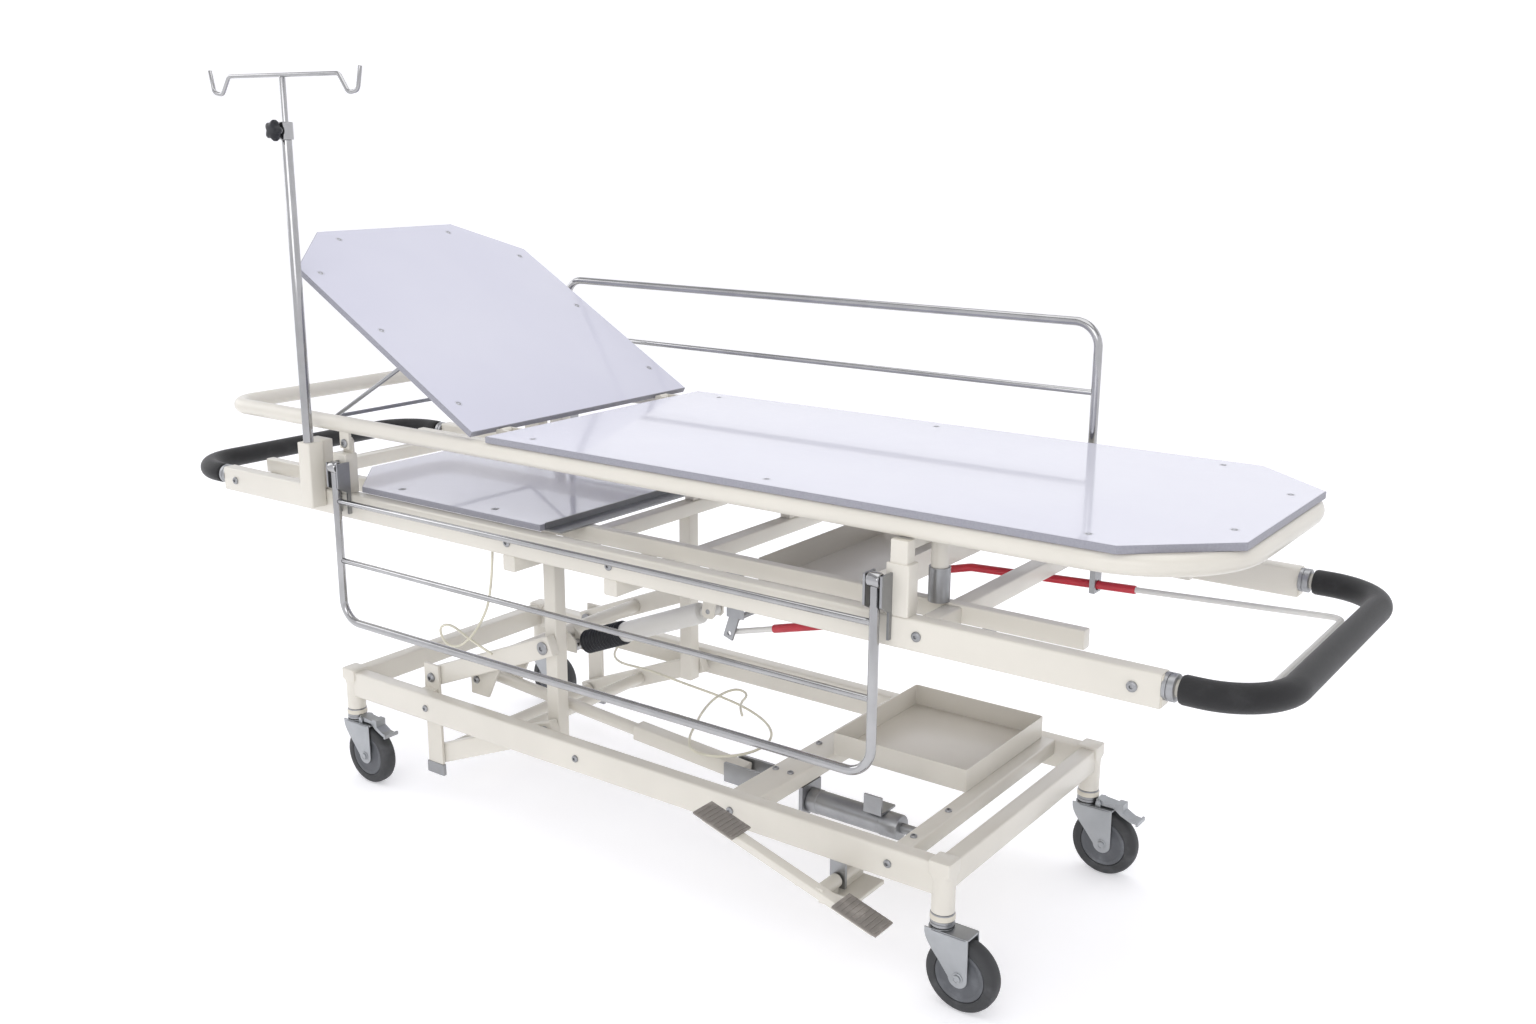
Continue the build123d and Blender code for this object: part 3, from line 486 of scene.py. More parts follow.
def lathe(origin, axis, profile, count=32, index=0, ring=False):
    """Surface of revolution: profile rows are (distance along the axis, radius).

    Flat ends close it, or, for a ring with an open middle, the last row joins the first.
    """
    axis = unit(axis)
    x = unit(np.cross(axis, (0, 1, 0) if abs(axis[1]) < 0.7 else (1, 0, 0)))
    y = np.cross(axis, x)
    a = angles(count)
    rows = np.asarray(profile, float)
    around = np.cos(a)[:, None] * x + np.sin(a)[:, None] * y
    verts = np.asarray(origin, float) + rows[:, :1, None] * axis + rows[:, 1:, None] * around[None]
    faces = [grid_faces(len(rows), count, True)] if ring else capped(len(rows), count)
    return verts.reshape(-1, 3), faces, index


print("bolt-sized turned part", len(lathe((0, 0, 0), (0, 0, 1), ((0, 5), (4, 5)), 20)[0]), "points")

# %% [markdown]
# Boards and plates are flat outlines carried through their thickness. Six rings, the outer ones drawn in
# by about a millimetre, ease both edges, so the corners catch the light as cut and sanded ones do.

# %% Boards and plates
def inset_outline(outline, depth):
    """Moves every edge of a convex outline inwards by the same depth."""
    edge = unit(np.roll(outline, -1, 0) - outline)
    inward = np.stack([-edge[:, 1], edge[:, 0]], 1)
    before = np.roll(inward, 1, 0)
    dot = (inward * before).sum(1, keepdims=True)
    return outline + (inward + before) / (1 + dot) * depth


def slab(outline, low, high, soft=1.0, place=None, face_index=0, edge_index=0):
    """A flat board: a convex outline (counter-clockwise) carried from one height to another."""
    flat = np.asarray(outline, float)
    count = len(flat)
    rows = ((soft, low), (soft * 0.3, low + soft * 0.3), (0, low + soft), (0, high - soft),
            (soft * 0.3, high - soft * 0.3), (soft, high))
    rings = [np.column_stack([inset_outline(flat, d), np.full(count, z)]) for d, z in rows]
    verts = np.concatenate(rings)
    if place is not None:
        verts = place(verts)
    sides = grid_faces(len(rows), count, False)
    top = (len(rows) - 1) * count + np.arange(count)[None, :]
    cut = 3 * count
    return [(verts, [sides[:cut]], edge_index), (verts, [np.arange(count)[None, ::-1], top], face_index),
            (verts, [sides[cut:]], edge_index)]


def joined(groups, index=0):
    """Treats the bands of a slab as one part."""
    return groups[0][0], [poly for _, polys, _ in groups for poly in polys], index


def board_piece(name, outline, low, high, body, node, place=None):
    """A laminate board: glossy face and back, with a sawn edge in between."""
    groups = slab(outline, low, high, 1.2, place, 0, 1)
    mesh = bpy.data.meshes.new(name)
    faces = [row for _, polys, _ in groups for poly in polys for row in poly.tolist()]
    mesh.from_pydata((groups[0][0] * MM).tolist(), [], faces)
    mesh.materials.append(FACE)
    mesh.materials.append(EDGE)
    slots = [index for _, polys, index in groups for poly in polys for _ in poly]
    mesh.polygons.foreach_set("material_index", slots)
    mesh.update()
    put(name, mesh, body, (node,))
    print(name, "on", body, "with", len(faces), "faces")


def plate(outline, y0, y1, index=0, soft=0.6):
    """A flat plate whose outline lies in XZ, between two Y planes."""
    flat = np.asarray(outline, float)
    area = (flat[:, 0] * np.roll(flat[:, 1], -1) - np.roll(flat[:, 0], -1) * flat[:, 1]).sum()
    if area < 0:
        flat = flat[::-1]
    low, high = min(y0, y1), max(y0, y1)

    def stand(v):
        return np.column_stack([v[:, 0], -v[:, 2], v[:, 1]])

    return joined(slab(flat, -high, -low, soft, stand), index)


print("faces of a plain plate", sum(len(poly) for poly in plate(((0, 0), (9, 0), (9, 9)), 0, 5)[1]))

# %% [markdown]
# Both cables are one smooth curve each, drawn through listed points. The lift cable hangs from the
# chassis in a loop beside the arms, and the lock cable crosses the base in two slack loops.

# %% Cables
def cable(name, points, diameter, body, node):
    """A NURBS line through control points, with a round section."""
    curve = bpy.data.curves.new(name, "CURVE")
    curve.dimensions = "3D"
    spline = curve.splines.new("NURBS")
    spline.points.add(len(points) - 1)
    rows = np.column_stack([np.asarray(points, float) * MM, np.ones(len(points))])
    spline.points.foreach_set("co", rows.ravel())
    spline.order_u = 3
    spline.use_endpoint_u = True
    spline.resolution_u = 10
    curve.bevel_depth = diameter / 2 * MM
    curve.bevel_resolution = 4
    curve.use_fill_caps = True
    curve.materials.append(CABLE)
    put(name, curve, body, (node,))
    steps = np.diff(np.asarray(points, float), axis=0)
    print(name, "control line", round(float(np.linalg.norm(steps, axis=1).sum())), "mm")


LIFT_RUN = ((-325, -256, 590), (-332, -256, 480), (-372, -256, 405), (-425, -256, 352), (-472, -256, 346),
            (-492, -256, 380), (-455, -256, 396), (-400, -256, 372), (-340, -256, 356))
LOCK_RUN = ((-440, 262, 222), (-425, 200, 226), (-350, 105, 232), (-230, 82, 247), (-110, 58, 250),
            (-10, 47, 250), (80, 25, 250), (160, -20, 252), (206, -80, 254), (212, -150, 256),
            (178, -205, 258), (128, -222, 262), (92, -184, 266), (60, -124, 264), (26, -56, 264),
            (0, 18, 262), (4, 78, 262), (46, 66, 262), (62, 8, 262), (100, -30, 262))
CABLE_D = 5.0
cable("lift_cable_line", LIFT_RUN, CABLE_D, "chassis", "lift_cable")
cable("lock_cable_line", LOCK_RUN, CABLE_D, "base", "lock_cable")

# %% [markdown]
# The base is welded from square tube. Drawn tube never has a knife edge, so each bar here is a rounded
# rectangle carried from end to end. Those small radii catch the long highlights that make it read as
# coated steel.

# %% Base frame
BASE_Y, POST_X = 278, (-735, 679)
rails = [bar((POST_X[0], s * BASE_Y, 215.5), (POST_X[1], s * BASE_Y, 215.5), 30, 55, 4) for s in SIDES]
add("base_rails", rails, [CREAM], "base", ("base_side_rails",))
cross = [bar((x, -266, z), (x, 266, z), w, h, 3.5) for x, z, w, h in
         ((-735, 220.5, 30, 45), (679, 220.5, 30, 45), (598, 228, 30, 30), (285, 228, 60, 30))]
add("base_cross_bars", cross, [CREAM], "base", ("base_cross_tubes",))
POST_FOOT = 158.5


def corner_post(x, y):
    """Superellipse section: round for most of the height, and nearly square at the capped top."""
    a = angles(48)
    rows = np.array([(0, 17.5, 2), (0.8, 19, 2), (54, 19, 2), (62, 19, 2.6), (66, 19, 8), (67, 19, 14),
                     (88, 19, 14), (89, 18.6, 14), (89.4, 18, 14)])
    c, s = np.cos(a)[None], np.sin(a)[None]
    rise, size, power = rows[:, :1], rows[:, 1:2], rows[:, 2:]
    r = size / (np.abs(c) ** power + np.abs(s) ** power) ** (1 / power)
    verts = np.stack([x + r * c, y + r * s, np.broadcast_to(POST_FOOT + rise, r.shape)], -1)
    return verts.reshape(-1, 3), capped(len(rows), len(a)), 0


posts = [corner_post(x, s * BASE_Y) for x in POST_X for s in SIDES]
add("base_corner_posts", posts, [CREAM], "base", ("base_posts",))


def bolt(point, axis, r, height=None, index=0):
    """A domed head with a socket: a short profile of rings, turned about its axis."""
    h = height or r * 0.55
    rows = ((-0.5, r * 0.9), (0, r), (h * 0.45, r), (h * 0.8, r * 0.86), (h, r * 0.6), (h, r * 0.38),
            (h * 0.45, r * 0.34), (h * 0.45, 0.2))
    return lathe(point, axis, rows, 20, index)


fasteners = [bolt((x, s * 293, 216), (0, s, 0), 7, 4) for s in SIDES for x in (-500, -90, 270, 585)]
fasteners += [bolt((x, y, 243), (0, 0, 1), 6, 4) for x, y in
              ((268, -155), (300, -155), (268, -16), (598, -120), (598, -235))]
for s in SIDES:
    fasteners.append(bar((-553, s * 246, 62.5), (-505, s * 246, 62.5), 8, 25, 1.5))
    for z in (262, 90):
        fasteners.append(lathe((-529, s * 217, z), (0, s, 0), ((0, 7.6), (0.4, 8), (24, 8), (25, 7.8))))
    fasteners.append(lathe((-529, s * 213, 262), (0, s, 0), ((0, 12), (0.6, 13), (3.6, 13), (4, 12.4))))
    fasteners.append(bolt((-529, s * 248, 262), (0, s, 0), 10, 6))
add("base_bolts_and_pins", fasteners, [ZINC], "base", ("base_fasteners",))

# %% [markdown]
# The equipment tray is folded sheet. Its wall is a thin section carried around a rectangle, with a soft
# rim, and the floor is a separate thin slab that the wall stands on.

# %% Equipment tray
low, high = (np.array(corner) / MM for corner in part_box("equipment_tray"))
mid = (low + high) / 2


def tray_outline(inset):
    """The tray's rectangle, drawn in by that much on every side."""
    return [(low[0] + inset, low[1] + inset), (high[0] - inset, low[1] + inset),
            (high[0] - inset, high[1] - inset), (low[0] + inset, high[1] - inset)]


rim = round_corners([(a, b, mid[2]) for a, b in tray_outline(1)], 4, True, 6)
wall = sweep(rim, rounded_box_section(2.0, high[2] - low[2], 0.9, 3), (0, 0, 1), closed=True)
floor = joined(slab(tray_outline(2), low[2], low[2] + 2, 0.4))
add("tray_pan", [wall, floor], [CREAM], "base", ("equipment_tray",))
print("tray size", (high - low).round(1), "mm")

# %% [markdown]
# A castor is a wheel in a pressed fork on a swivel. The tyre and its grey centre are one turned profile
# each. The fork is a flat cheek on each side under a rounded crown plate, and the collar above it is a
# stack of rings: a black seal, zinc-plated races and a cream cup.

# %% Castor shapes
TRAIL, AXLE_Z, CROWN_Z = 40, 62.5, 129
TYRE_HALF = ((-13, 43.2), (-14.6, 44.4), (-15, 47), (-14.8, 53), (-13.4, 58.2), (-10, 61.2), (-5, 62.4))
CENTRE_HALF = ((-14.2, 5.4), (-14.2, 15), (-12.6, 16.4), (-11.4, 18), (-11.2, 33), (-12.6, 35.4), (-13.4, 37.6),
               (-13.6, 42.4), (-12.4, 43.1))
NUT = ((0, 9.5), (1.2, 9.5), (1.8, 8.6), (2.0, 7.4), (4.6, 7.2), (5.4, 6.4), (5.6, 4.4), (4.4, 3.6), (4.2, 0.4))


def both_ways(half):
    """A half profile followed by its mirror image, back to front."""
    return half + tuple((-across, r) for across, r in half[::-1])


def wheel(x, y):
    """Turned about Y: a crowned tyre ring, a groove, then a dished centre with a raised boss."""
    tyre = both_ways(TYRE_HALF)
    tyre = tyre[:len(TYRE_HALF)] + ((0, 62.5),) + tyre[len(TYRE_HALF):]
    return [lathe((x, y, AXLE_Z), (0, 1, 0), tyre, 96, 0, ring=True),
            lathe((x, y, AXLE_Z), (0, 1, 0), both_ways(CENTRE_HALF), 72, 1, ring=True)]


def fork(x, y):
    """Two cheeks like drawn-down leaves, a crown plate, the swivel boss and the axle nuts."""
    ax = x + TRAIL
    tip = np.linspace(math.radians(-8), math.radians(-172), 15)
    outline = np.concatenate([
        np.array([(x - 22, CROWN_Z + 4), (ax + 15.5, CROWN_Z + 4), (ax + 16.4, CROWN_Z - 20)]),
        np.column_stack([ax + 17 * np.cos(tip), AXLE_Z + 17 * np.sin(tip)]),
        np.array([(x + 6, 82), (x - 8, 98), (x - 15, 108), (x - 19.4, 116), (x - 21.6, 124)])])
    parts = [plate(outline, y + low, y + low + 3, soft=0.9) for low in (-19.5, 16.5)]
    turn = np.linspace(math.radians(110), math.radians(250), 13)
    back = np.column_stack([x - 2 + 20 * np.cos(turn), 19.5 * np.sin(turn) / math.sin(math.radians(110))])
    crown = np.concatenate([np.array([(ax + 16, -14), (ax + 16, 14), (ax + 11, 19.5)]), back,
                            np.array([(ax + 11, -19.5)])])
    parts.append(joined(slab([(a, b + y) for a, b in crown], CROWN_Z, CROWN_Z + 4, 1.4)))
    parts.append(lathe((x, y, CROWN_Z - 3.5), (0, 0, 1), ((0, 15), (1, 17), (6.5, 17), (7.6, 18.6), (8.4, 18.2))))
    parts += [lathe((ax, y + s * 19.5, AXLE_Z), (0, s, 0), NUT) for s in SIDES]
    parts.append(lathe((ax, y - 19, AXLE_Z), (0, 1, 0), ((0, 5), (38, 5))))
    return parts


def brake_ears(x, y):
    """Two upright ears on the crown, and the pin that the brake lever turns on."""
    ear = ((x + 21.5, 132), (x + 32, 132), (x + 32, 142), (x + 29, 146), (x + 24.5, 146), (x + 21.5, 142))
    pin = ((0, 3.5), (0.6, 4.2), (1, 3), (32, 3), (32.4, 4.2), (33, 3.5))
    return [plate(ear, y + s * 12.5, y + s * 15.5) for s in SIDES] + [
        lathe((x + TRAIL - 13, y - 16.5, 141.5), (0, 1, 0), pin)]


print("tyre profile points", 2 * len(TYRE_HALF) + 1)

# %% [markdown]
# The same functions make all four castors, each riding on its own fork and wheel so that it can swivel and
# roll. Two of them carry a brake lever.

# %% Castors
CASTORS = {"head_near": (-735, -278), "head_far": (-735, 278), "foot_near": (679, -278), "foot_far": (679, 278)}
BRAKED = ("head_near", "foot_far")
collar_rows = ((0, 17), (2.0, 17.2), (2.4, 19.4), (3, 20), (7, 20), (7.6, 19), (8.6, 19), (9.2, 20), (12, 20),
               (12.6, 19), (21, 19), (21.6, 19.6), (23.4, 19.6), (24, 19))
collars = []
for where, (x, y) in CASTORS.items():
    add(f"castor_tyre_and_centre_{where}", wheel(x + TRAIL, y), [TYRE, HUB], f"wheel_{where}",
        (f"castor_wheel_{where}",))
    parts = fork(x, y) + (brake_ears(x, y) if where in BRAKED else [])
    add(f"castor_pressing_{where}", parts, [CAST], f"fork_{where}", (f"castor_fork_{where}",))
    for rise, rows, count, index in (
            (5.5, collar_rows, 48, 0), (-8, ((0, 9), (0.6, 10), (3.6, 10), (4, 6), (14, 6)), 32, 0),
            (17.6, ((0, 19.4), (0.8, 20.6), (7.6, 20.6), (9.4, 19.4)), 48, 1),
            (5.2, ((0, 19.0), (0.4, 19.8), (2, 19.8), (2.4, 18.8)), 48, 2)):
        collars.append(lathe((x, y, CROWN_Z + rise), (0, 0, 1), rows, count, index))
add("castor_collar_stacks", collars, [ZINC, CREAM_CAP, SEAL], "base", ("castor_collars",))

# %% [markdown]
# The foot pedal rocks on a pin under the near rail. Two ribbed rubber pads sit at the ends of a slim bar.

# %% Pedal
HEEL, TOE = np.array([322.0, 243.0]), np.array([595.0, 164.0])
RUN = unit(TOE - HEEL)
RISE = np.array([-RUN[1], RUN[0]])
BAR_Y, ARM_X = -388, 502


def along_pedal(centre, s, up):
    """The point that far along the bar from a pad's centre, and that far above the bar."""
    p = centre + RUN * s + RISE * up
    return (p[0], p[1])


(x0, z0), (x1, z1) = HEEL - RUN * 30, TOE + RUN * 30
arm_line = [(ARM_X, -394, 191.5), (ARM_X, -291, 126), (ARM_X, -205, 126)]
pedal = [bar((x0, BAR_Y, z0), (x1, BAR_Y, z1), 22, 14, 2.5),
         sweep(round_corners(arm_line, 16, steps=8), rounded_box_section(52, 8, 2.0), (0, 0, 1))]
for y0, y1 in ((-329, -284), (-272, -207)):
    deep = y1 - y0
    sleeve = ((0, 8.2), (0, 11.6), (0.5, 12), (deep - 0.5, 12), (deep, 11.6), (deep, 8.2))
    pedal.append(lathe((483, y0, 150), (0, 1, 0), sleeve))
    pedal.append(bar((483, y0 + 2, 135), (483, y1 - 2, 135), 13, 18, 1))
add("pedal_lever", pedal, [CREAM], "pedal", ("pedal_arm",))
pads = []
for centre in (HEEL, TOE):
    body_line = [along_pedal(centre, s, u) for s, u in ((-42, 7.2), (42, 7.2), (42, 10.5), (-42, 10.5))]
    pads.append(plate(body_line, -413, -361, soft=1.0))
    for k in range(9):
        rib = [along_pedal(centre, -38 + k * 9 + s, u) for s, u in ((0, 9.8), (4, 9.8), (3.4, 12), (0.6, 12))]
        pads.append(plate(rib, -411, -363, soft=0.4))
add("pedal_pad_rubbers", pads, [PAD], "pedal", ("pedal_pads",))

# %% [markdown]
# The lift is a parallelogram: an upper and a lower arm on each side carry the two legs. Arms are flat
# tube with bolts through both eyes. The lock strut and the gas spring run along the middle.

# %% Lift arms and legs
UPPER, UPPER_END = np.array([-529.0, 262.0]), np.array([-217.0, 390.0])
DOWN = np.array([0.0, -172.0])
ARM_Y, LEG_Y = 231, 204


def arm_bar(a, b, y):
    """Flat tube from pivot a to pivot b, running 20 mm past both."""
    run = unit(b - a)
    p, q = a - run * 20, b + run * 20
    return bar((p[0], y, p[1]), (q[0], y, q[1]), 20, 40, 3.5)


upper = [arm_bar(UPPER, UPPER_END, s * ARM_Y) for s in SIDES]
upper.append(tube([(-385, -221, 321), (-385, 221, 321)], 15, normal=(1, 0, 0), count=32))
for s in SIDES:
    upper.append(plate(((-398, 309), (-372, 286), (-346, 286), (-346, 312), (-374, 332)), s * 10, s * 14))
strut_cheek = ((-452, 236), (-404, 236), (-372, 300), (-396, 316), (-452, 300))
for y, outer, facing in ((-211, -211, -1), (-126, -120, 1)):
    upper.append(plate(strut_cheek, y, y + 6))
    upper.append(bolt((-435, outer, 268), (0, facing, 0), 8, 5, 1))
add("upper_arm_pair", upper, [CREAM, ZINC], "upper_arms", ("upper_lift_arms",))
lower = [arm_bar(UPPER + DOWN, UPPER_END + DOWN, s * ARM_Y) for s in SIDES]
lower.append(tube([(-373, -221, 154), (-373, 221, 154)], 13, normal=(1, 0, 0), count=32))
add("lower_arm_pair", lower, [CREAM], "lower_arms", ("lower_lift_arms",))
legs = [bar((-217, s * LEG_Y, 195), (-217, s * LEG_Y, 564), 30, 30, 3, up=(1, 0, 0)) for s in SIDES]
add("leg_pair", legs, [CREAM], "chassis", ("lift_legs",))

# %% [markdown]
# The lock strut is a square tube with a round bar sliding out of it, and the gas spring is a painted
# cylinder with a rubber gaiter over its rod. Both lie along a slanted line, so each has one small
# function that turns a distance along that line into a point. The gaiter is a cosine ripple, turned.

# %% Lock strut and gas spring
STRUT_FOOT, STRUT_HEAD = np.array([195.0, 225.0]), np.array([-435.0, 266.0])
STRUT_RUN = unit(STRUT_HEAD - STRUT_FOOT)


def on_strut(s):
    """The point that far along the strut from its foot."""
    p = STRUT_FOOT + STRUT_RUN * s
    return (p[0], -165, p[1])


add("lock_strut_tube", [bar(on_strut(-16), on_strut(241), 30, 30, 3),
                        tube([on_strut(236), on_strut(243)], 13.6, normal=(0, 1, 0))],
    [CREAM], "lock_outer", ("lock_strut_outer",))
add("lock_strut_bar", [tube([on_strut(150), on_strut(631)], 12, normal=(0, 1, 0)),
                       tube([(-435, -193, 266), (-435, -137, 266)], 6, normal=(1, 0, 0))],
    [CREAM], "lock_inner", ("lock_strut_inner",))
SPRING_TOP, SPRING_END = np.array([6.0, 448.0]), np.array([-359.0, 298.0])
SPRING_RUN = unit(SPRING_END - SPRING_TOP)
SPRING_AXIS = (SPRING_RUN[0], 0, SPRING_RUN[1])


def on_spring(s):
    """The point that far along the gas spring from its upper eye."""
    p = SPRING_TOP + SPRING_RUN * s
    return (p[0], 0, p[1])


body_rows = ((0, 6), (0, 9), (17, 9), (17, 14), (19, 19), (22, 20.6), (25, 21), (230, 21), (233, 20.4),
             (234, 19.6), (264, 19.6), (265, 12))
top_eye = ((0, 5.2), (0, 12.4), (0.6, 13), (19.4, 13), (20, 12.4), (20, 5.2))
low_eye = ((0, 4), (0, 11.4), (0.6, 12), (15.4, 12), (16, 11.4), (16, 4))
cylinder = [lathe(on_spring(10), SPRING_AXIS, body_rows, 40), lathe((6, -10, 448), (0, 1, 0), top_eye)]
add("gas_spring_body", cylinder, [SPRING_WHITE], "spring_cylinder", ("gas_spring_cylinder",))
piston = [lathe(on_spring(215), SPRING_AXIS, ((0, 6.4), (0.6, 7), (160, 7), (163, 6.5))),
          lathe((-359, -8, 298), (0, 1, 0), low_eye)]
add("gas_spring_piston", piston, [CHROME], "spring_rod", ("gas_spring_rod",))
s = np.linspace(0, 112, 113)
ripple = 23.4 + 1.6 * np.cos(s * 2 * math.pi / 9.0)
ripple[:4] = (21.8, 22.4, 24.2, 25.0)
ripple[-5:] = (25.0, 24.6, 23.0, 18.0, 7.6)
gaiter = lathe(on_spring(246), SPRING_AXIS, np.column_stack([s, ripple]), 40)
add("gas_spring_gaiter", [gaiter], [BLACK], "spring_rod", ("gas_spring_boot",))
pump_rows = ((0, 20), (1, 22.5), (20, 22.5), (21, 21.6), (150, 21.6), (151, 22.5), (186, 22.5), (188, 21),
             (189, 12), (189, 9), (216, 9), (218, 8), (219, 5))
pump = lathe((316, -110, 180), (1, 0, 0), pump_rows, 40)
add("pump_barrel", [pump], [ZINC], "base", ("pump_cylinder",))

# %% [markdown]
# The chassis is the long frame with the handles. Its two main rails carry the cassette shelf, the cable
# trough, the columns for the top frame and the sockets for the side rails and the pole.

# %% Chassis frame
ENDS = {-1: -1074, 1: 1016}
HANDLE_OUT = 146
RAIL_Y, RAIL_Z, INNER_Y = 308, 617, 215
LEG_X, BRACE_X = -217, 30
chassis = [bar((ENDS[-1], s * RAIL_Y, RAIL_Z), (ENDS[1], s * RAIL_Y, RAIL_Z), 30, 50, 4) for s in SIDES]
for e in SIDES:
    for s in SIDES:
        chassis.append(bar((ENDS[e] - e * 8, s * RAIL_Y, RAIL_Z), (ENDS[e] + e * 2, s * RAIL_Y, RAIL_Z),
                           27, 47, 3, index=1, soften=2.0))
add("chassis_main_rails", chassis, [CREAM, CREAM_CAP], "chassis", ("chassis_rails",))
inner = [bar((-1060, s * INNER_Y, 630), (862, s * INNER_Y, 630), 20, 30, 2.5) for s in SIDES]
add("chassis_inner_bars", inner, [CREAM], "chassis", ("chassis_inner_rails",))
cross = [bar((x, -320, 577), (x, 320, 577), 30, 30, 3) for x in (LEG_X, BRACE_X)]
cross += [bar((-1038, -294, 601), (-1038, 294, 601), 30, 28, 3), bar((647, -205, 627), (647, 205, 627), 30, 30, 3)]
spring_ear = ((15, 562), (-9, 450), (-9, 440), (-3, 434), (15, 434), (21, 440), (21, 450), (45, 562))
for s in SIDES:
    cross.append(bar((647, s * 224, 627), (647, s * 294, 627), 30, 30, 3))
    for x in (LEG_X, BRACE_X):
        cross.append(bar((x - 12, s * INNER_Y, 603.5), (x + 12, s * INNER_Y, 603.5), 16, 23, 1))
    cross.append(plate(spring_ear, s * 12, s * 16))
cross.append(tube([(6, -17, 448), (6, 17, 448)], 5, normal=(1, 0, 0), index=1))
add("chassis_cross_bars", cross, [CREAM, ZINC], "chassis", ("chassis_cross_tubes",))

# %% [markdown]
# Short upright sleeves on the main rails hold the columns, the head pivots and the pole. The bolts are
# domed heads on their faces, and a stepped ring closes each rail's end round the handle.

# %% Sleeves and chassis bolts
PIVOT_X = -682
pivot_tab = ((-696, 720), (-668, 720), (-668, 746), (-674, 752), (-690, 752), (-696, 746))
sleeves = [bar((-745, -341.5, 610), (-745, -341.5, 741), 37, 36, 4, up=(1, 0, 0))]
for s in SIDES:
    for x, top, depth in ((604, 723, 40), (PIVOT_X, 722, 40), (-760.5, 741, 49)):
        sleeves.append(bar((x, s * RAIL_Y, 642), (x, s * RAIL_Y, top), 30, depth, 3, up=(1, 0, 0)))
    sleeves.append(plate(pivot_tab, s * 294, s * 300))
    sleeves.append(bolt((PIVOT_X, s * 307.5, 740), (0, s, 0), 9, 3.4, 1))
    sleeves.append(tube([(PIVOT_X, s * 299, 740), (PIVOT_X, s * 308, 740)], 5, normal=(1, 0, 0), index=1))
add("column_sockets", sleeves, [CREAM, ZINC], "chassis", ("column_sleeves",))

end_ring = ((0, 12.6), (0, 19), (0.8, 20), (6, 20), (6.6, 18.6), (8, 18.6), (8.6, 20), (16.2, 20), (17, 19),
            (17, 12.6))
hardware = []
for s in SIDES:
    for x in (ENDS[-1] + 40, LEG_X, BRACE_X, 640, ENDS[1] - 40):
        hardware.append(bolt((x, s * 323, RAIL_Z), (0, s, 0), 8, 4))
    hardware += [bolt((x, s * 270, 656.6), (0, 0, 1), 8, 1.2) for x in (-560, -300)]
    hardware += [lathe((ENDS[e], s * 305, 622), (e, 0, 0), end_ring, 40) for e in SIDES]
    for z in (390, 218):
        hardware.append(lathe((LEG_X, s * 219, z), (0, s, 0), ((0, 8), (22.5, 8))))
        hardware.append(bolt((LEG_X, s * 241.5, z), (0, s, 0), 13, 4.5))
add("chassis_hardware", hardware, [ZINC], "chassis", ("chassis_fasteners",))

# %% [markdown]
# A handle is a loop of thin tube that pushes into the end of both main rails, with foam over all but its
# ends. Tube and foam follow the same rounded path, so the foam is an even sleeve around the bends.

# %% Handles
HANDLE_Y, HANDLE_Z, HANDLE_BEND = 305, 622, 100


def handle_path(start, reach):
    """The corners of a U from one rail end, out to reach, and back to the other rail end."""
    return [(start, -HANDLE_Y, HANDLE_Z), (reach, -HANDLE_Y, HANDLE_Z), (reach, HANDLE_Y, HANDLE_Z),
            (start, HANDLE_Y, HANDLE_Z)]


loops, grips = [], []
for e in SIDES:
    reach = ENDS[e] + e * HANDLE_OUT
    loops.append(tube(handle_path(ENDS[e] + e, reach), 12.5, HANDLE_BEND, steps=20))
    grips.append(tube(handle_path(ENDS[e] + e * 22, reach), 21, HANDLE_BEND, steps=28, count=40, soften=5))
add("handle_bars", loops, [CREAM], "chassis", ("handle_tubes",))
add("handle_foam_grips", grips, [FOAM], "chassis", ("handle_grips",))

# %% [markdown]
# The top frame is one loop of round tube with tight corners at the head and wide ones at the foot. It
# tilts on the head columns while two inner columns rise out of the foot sleeves.

# %% Top frame
loop = [(-1064, -300, 777), (1068, -300, 777), (1068, 300, 777), (-1064, 300, 777)]
add("top_frame_loop", [tube(loop, 16, [60, 180, 180, 60], closed=True, count=32, steps=24)], [CREAM], "top_frame",
    ("top_frame_tube",))
columns = [bar((604, s * 308, 597), (604, s * 308, 759), 24, 30, 2.5, up=(1, 0, 0)) for s in SIDES]
columns.append(bar((598.5, -296, 747), (598.5, 296, 747), 19, 20, 2))
columns.append(lathe((622, -225, 648), (0, 0, 1), ((0, 13), (0.6, 14), (141, 14), (142, 13)), 32))
add("rising_columns", columns, [CREAM], "columns", ("tilt_columns",))

# %% [markdown]
# Three sheets of the same laminate make the main board, the shelf under the backrest and the backrest.
# Each is an outline with its corners cut off, carried up through the thickness with its edges eased. The
# backrest is drawn flat and then turned about its hinge line, so its screws can be turned with it.

# %% Boards
main_outline = ((-275, -311), (936, -311), (1073, -186), (1073, 186), (936, 311), (-275, 311))
board_piece("main_board_sheet", main_outline, 793, 805, "top_frame", "main_board")
shelf_outline = ((-769, -174), (-640, -304), (-150, -304), (-150, 304), (-640, 304), (-769, 174))
board_piece("shelf_sheet", shelf_outline, 645, 657, "chassis", "cassette_shelf")
ANGLE = math.radians(30)
HINGE = np.array([-306.0, 0.0, 799.0])


def raise_back(v):
    """Turns points drawn flat about the hinge line by the backrest angle, then moves them to the hinge."""
    c, s = math.cos(ANGLE), math.sin(ANGLE)
    return np.column_stack([c * v[:, 0] + s * v[:, 2], v[:, 1], -s * v[:, 0] + c * v[:, 2]]) + HINGE


back_outline = ((-672, -183), (-556, -311), (-8, -311), (-8, 311), (-556, 311), (-672, 183))
board_piece("backrest_sheet", back_outline, -6, 6, "backrest", "backrest_board", raise_back)


